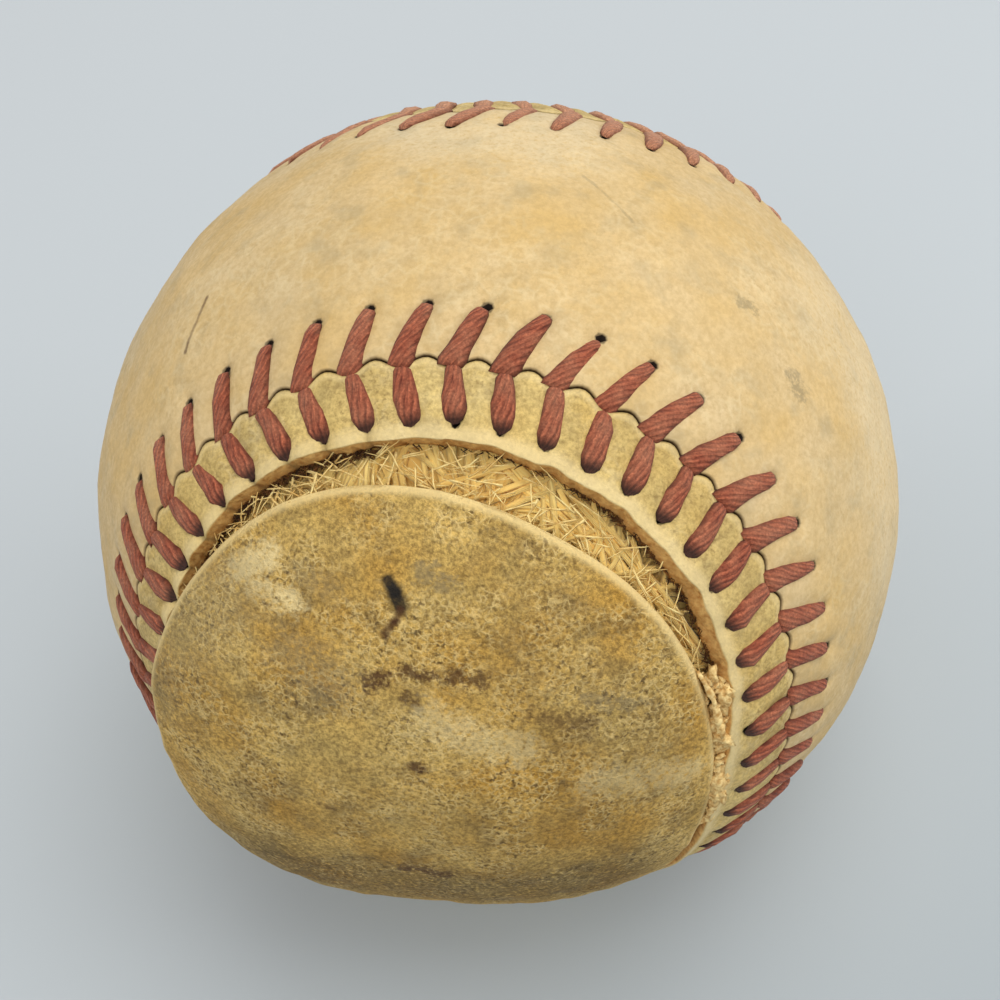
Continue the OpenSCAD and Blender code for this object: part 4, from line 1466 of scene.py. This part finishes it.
def makeFuzz():
    dice = np.random.default_rng(fuzz["seed"])
    count = fuzz["count"]
    a = dice.uniform(*fuzz["span"], count)
    growHairs("flap_edge_fuzz", fuzz, "flap", paleFibres, a, flapOffset(a) - fuzz["inset"],
        ballR + flapRise(a) - dice.uniform(*fuzz["depth"], count), np.pi + dice.uniform(*fuzz["turn"], count),
        dice.uniform(*fuzz["tilt"], count))


makeFringe()
makeYarnEnds()
makeFuzz()

crumbs = {
    "count": 110,
    "size": 1.15,
    "lumps": (0.5, 1.35),
    "stretch": 1.6,
    "flatness": 0.8,
    "span": (426, 440, 456),
    "across": (0.05, 0.95),  # shares of the way from the strip's lip to the flap
    "depth": 1.1,
    "pile": 0.95,
    "seed": 41,
}
crumbScatter = {"Turn Jitter": 3.0, "Smallest": 0.3, "Largest": 1.15, "Wobble": 0.6 * mm,
    "Wobble Scale": 1100.0}


def makeCrumbs():
    dice = np.random.default_rng(crumbs["seed"])
    shape = bmesh.new()
    bmesh.ops.create_icosphere(shape, subdivisions=2, radius=crumbs["size"] / 2 * mm)
    for vert in shape.verts:
        vert.co *= dice.uniform(*crumbs["lumps"])
        vert.co.x *= crumbs["stretch"]
        vert.co.z *= crumbs["flatness"]
    mesh = bpy.data.meshes.new("crumb")
    shape.to_mesh(mesh)
    shape.free()
    lump = bpy.data.objects.new("crumb", mesh)
    bpy.context.scene.collection.objects.link(lump)
    count = crumbs["count"]
    a = dice.triangular(*crumbs["span"], count)
    share = dice.uniform(*crumbs["across"], count)
    offset = -lipWidth(a) * (1 - share) + flapOffset(a) * share
    radius = ballR - crumbs["depth"] + dice.uniform(0.0, crumbs["pile"], count)
    spots, points, onward = beside(a, offset, radius)
    piece = growCopies("torn_leather_crumbs", lump, points, onward, spots, crumbScatter, crumbs["seed"],
        crumbLeather)
    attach(piece, "ball")


makeCrumbs()

# Slivers of the flap's right edge that have curled up
curls = [
    {"name": "upper_edge_curl", "span": (428.0, 440.0), "thick": 0.3, "stand": 0.4},
    {"name": "lower_edge_curl", "span": (443.0, 453.0), "thick": 0.42, "stand": 0.3},
]
curlShape = {
    "rings": 30,
    "sides": 12,
    "inset": 0.1,
    "bow": 0.25,
    "depth": 0.2,
    "endShare": 0.25,  # of the middle's thickness
    "flatness": 0.8,
    "roughness": 0.06,
}


def makeCurl(curl):
    share = np.linspace(0, 1, curlShape["rings"])
    a = curl["span"][0] + (curl["span"][1] - curl["span"][0]) * share
    arch = np.sin(np.pi * share)
    offset = flapOffset(a) + curlShape["inset"] + curlShape["bow"] * arch
    spots, points, onward = beside(a, offset, ballR - curlShape["depth"] + curl["stand"] * arch)
    ends = curlShape["endShare"]
    thick = curl["thick"] * (ends + (1 - ends) * arch**0.6) * (1 + 0.25 * waves(points, 1.8, 51))
    angle = np.linspace(0, math.tau, curlShape["sides"], endpoint=False)[None, :, None]
    wide = np.cos(angle) * onward[:, None] * thick[:, None, None]
    tall = np.sin(angle) * spots[:, None] * thick[:, None, None] * curlShape["flatness"]
    verts = (points[:, None] + wide + tall).reshape(-1, 3)
    verts += unit(verts) * (curlShape["roughness"] * waves(verts, 0.9, 52))[:, None]
    piece = makeTube(curl["name"], verts, curlShape["sides"], crumbLeather)
    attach(piece, "flap")


for curl in curls:
    makeCurl(curl)
print("torn edges finished")

# Camera at the photograph's angle
view = {
    "place": (0.4148, -2.0997, 2.5960),  # in radii of the ball
    "right": (0.9914, 0.1139, -0.0646),
    "up": (-0.0472, 0.7715, 0.6345),
    "back": (0.1221, -0.6259, 0.7702),
    "lens": 46.31,
}
camera = bpy.data.objects.new("camera", bpy.data.cameras.new("camera"))
bpy.context.scene.collection.objects.link(camera)
camera.matrix_world = Matrix.Translation(Vector(view["place"]) * ballR * mm) @ Matrix(
    (view["right"], view["up"], view["back"])).transposed().to_4x4()
camera.data.lens = view["lens"]
camera.data.sensor_width = 36
camera.data.clip_start = 0.005
bpy.context.scene.camera = camera

# Floor and lamps
room = {
    "floorSize": 3.0,
    "floorLight": rgb(200, 206, 210),
    "floorDark": rgb(182, 190, 195),
    "floorCornerShade": rgb(150, 160, 166),
    "lightSpan": (-0.1, 0.26),  # these spans are in metres over the floor
    "cornerSpan": (0.0, 0.16),
    "slant": 0.6,
    "lampColour": (1.0, 0.98, 0.95),
    "worldColour": rgb(228, 229, 230),
    "worldStrength": 0.72,
}
# the floor's colour holds painted shade: darker towards the camera and to the right, and most in the near
# right corner
floorMaterial, floorTree, floorShader = newMaterial("paleFloor", 0.7)
floorPlace = addNode(floorTree, "ShaderNodeSeparateXYZ", {0: objectPlace(floorTree, 1.0)}).outputs
floorShade = spread(floorTree, minus(floorTree, floorPlace["Y"],
    times(floorTree, floorPlace["X"], room["slant"])), *room["lightSpan"])
floorCornerShade = spread(floorTree, minus(floorTree, floorPlace["X"], floorPlace["Y"]), *room["cornerSpan"])
floorColour = mixed(floorTree, floorShade, room["floorDark"], room["floorLight"])
floorColour = mixed(floorTree, floorCornerShade, floorColour, room["floorCornerShade"])
floorTree.links.new(floorColour, floorShader.inputs["Base Color"])
half = room["floorSize"] / 2
corners = [(x * half, y * half, -ballR * mm) for x, y in ((-1, -1), (1, -1), (1, 1), (-1, 1))]
floor = newPiece("pale_floor", corners, [(0, 1, 2, 3)], floorMaterial)


def addLamp(name, place, size, watts):
    lamp = bpy.data.objects.new(name, bpy.data.lights.new(name, "AREA"))
    bpy.context.scene.collection.objects.link(lamp)
    lamp.location = place
    lamp.rotation_euler = (-Vector(place)).to_track_quat("-Z", "Y").to_euler()
    lamp.data.size = size
    lamp.data.energy = watts
    lamp.data.color = room["lampColour"]


addLamp("windowLamp", (0.12, 0.03, 0.62), 0.42, 2.0)
addLamp("roomLamp", (-0.15, -0.5, 0.5), 0.6, 1.25)
addLamp("sideLamp", (0.5, 0.05, 0.22), 0.3, 0.85)
world = bpy.data.worlds.new("room")
world.use_nodes = True
world.node_tree.nodes["Background"].inputs["Color"].default_value = room["worldColour"]
world.node_tree.nodes["Background"].inputs["Strength"].default_value = room["worldStrength"]
bpy.context.scene.world = world
bpy.context.scene.view_settings.view_transform = "Standard"
print("camera and light made")
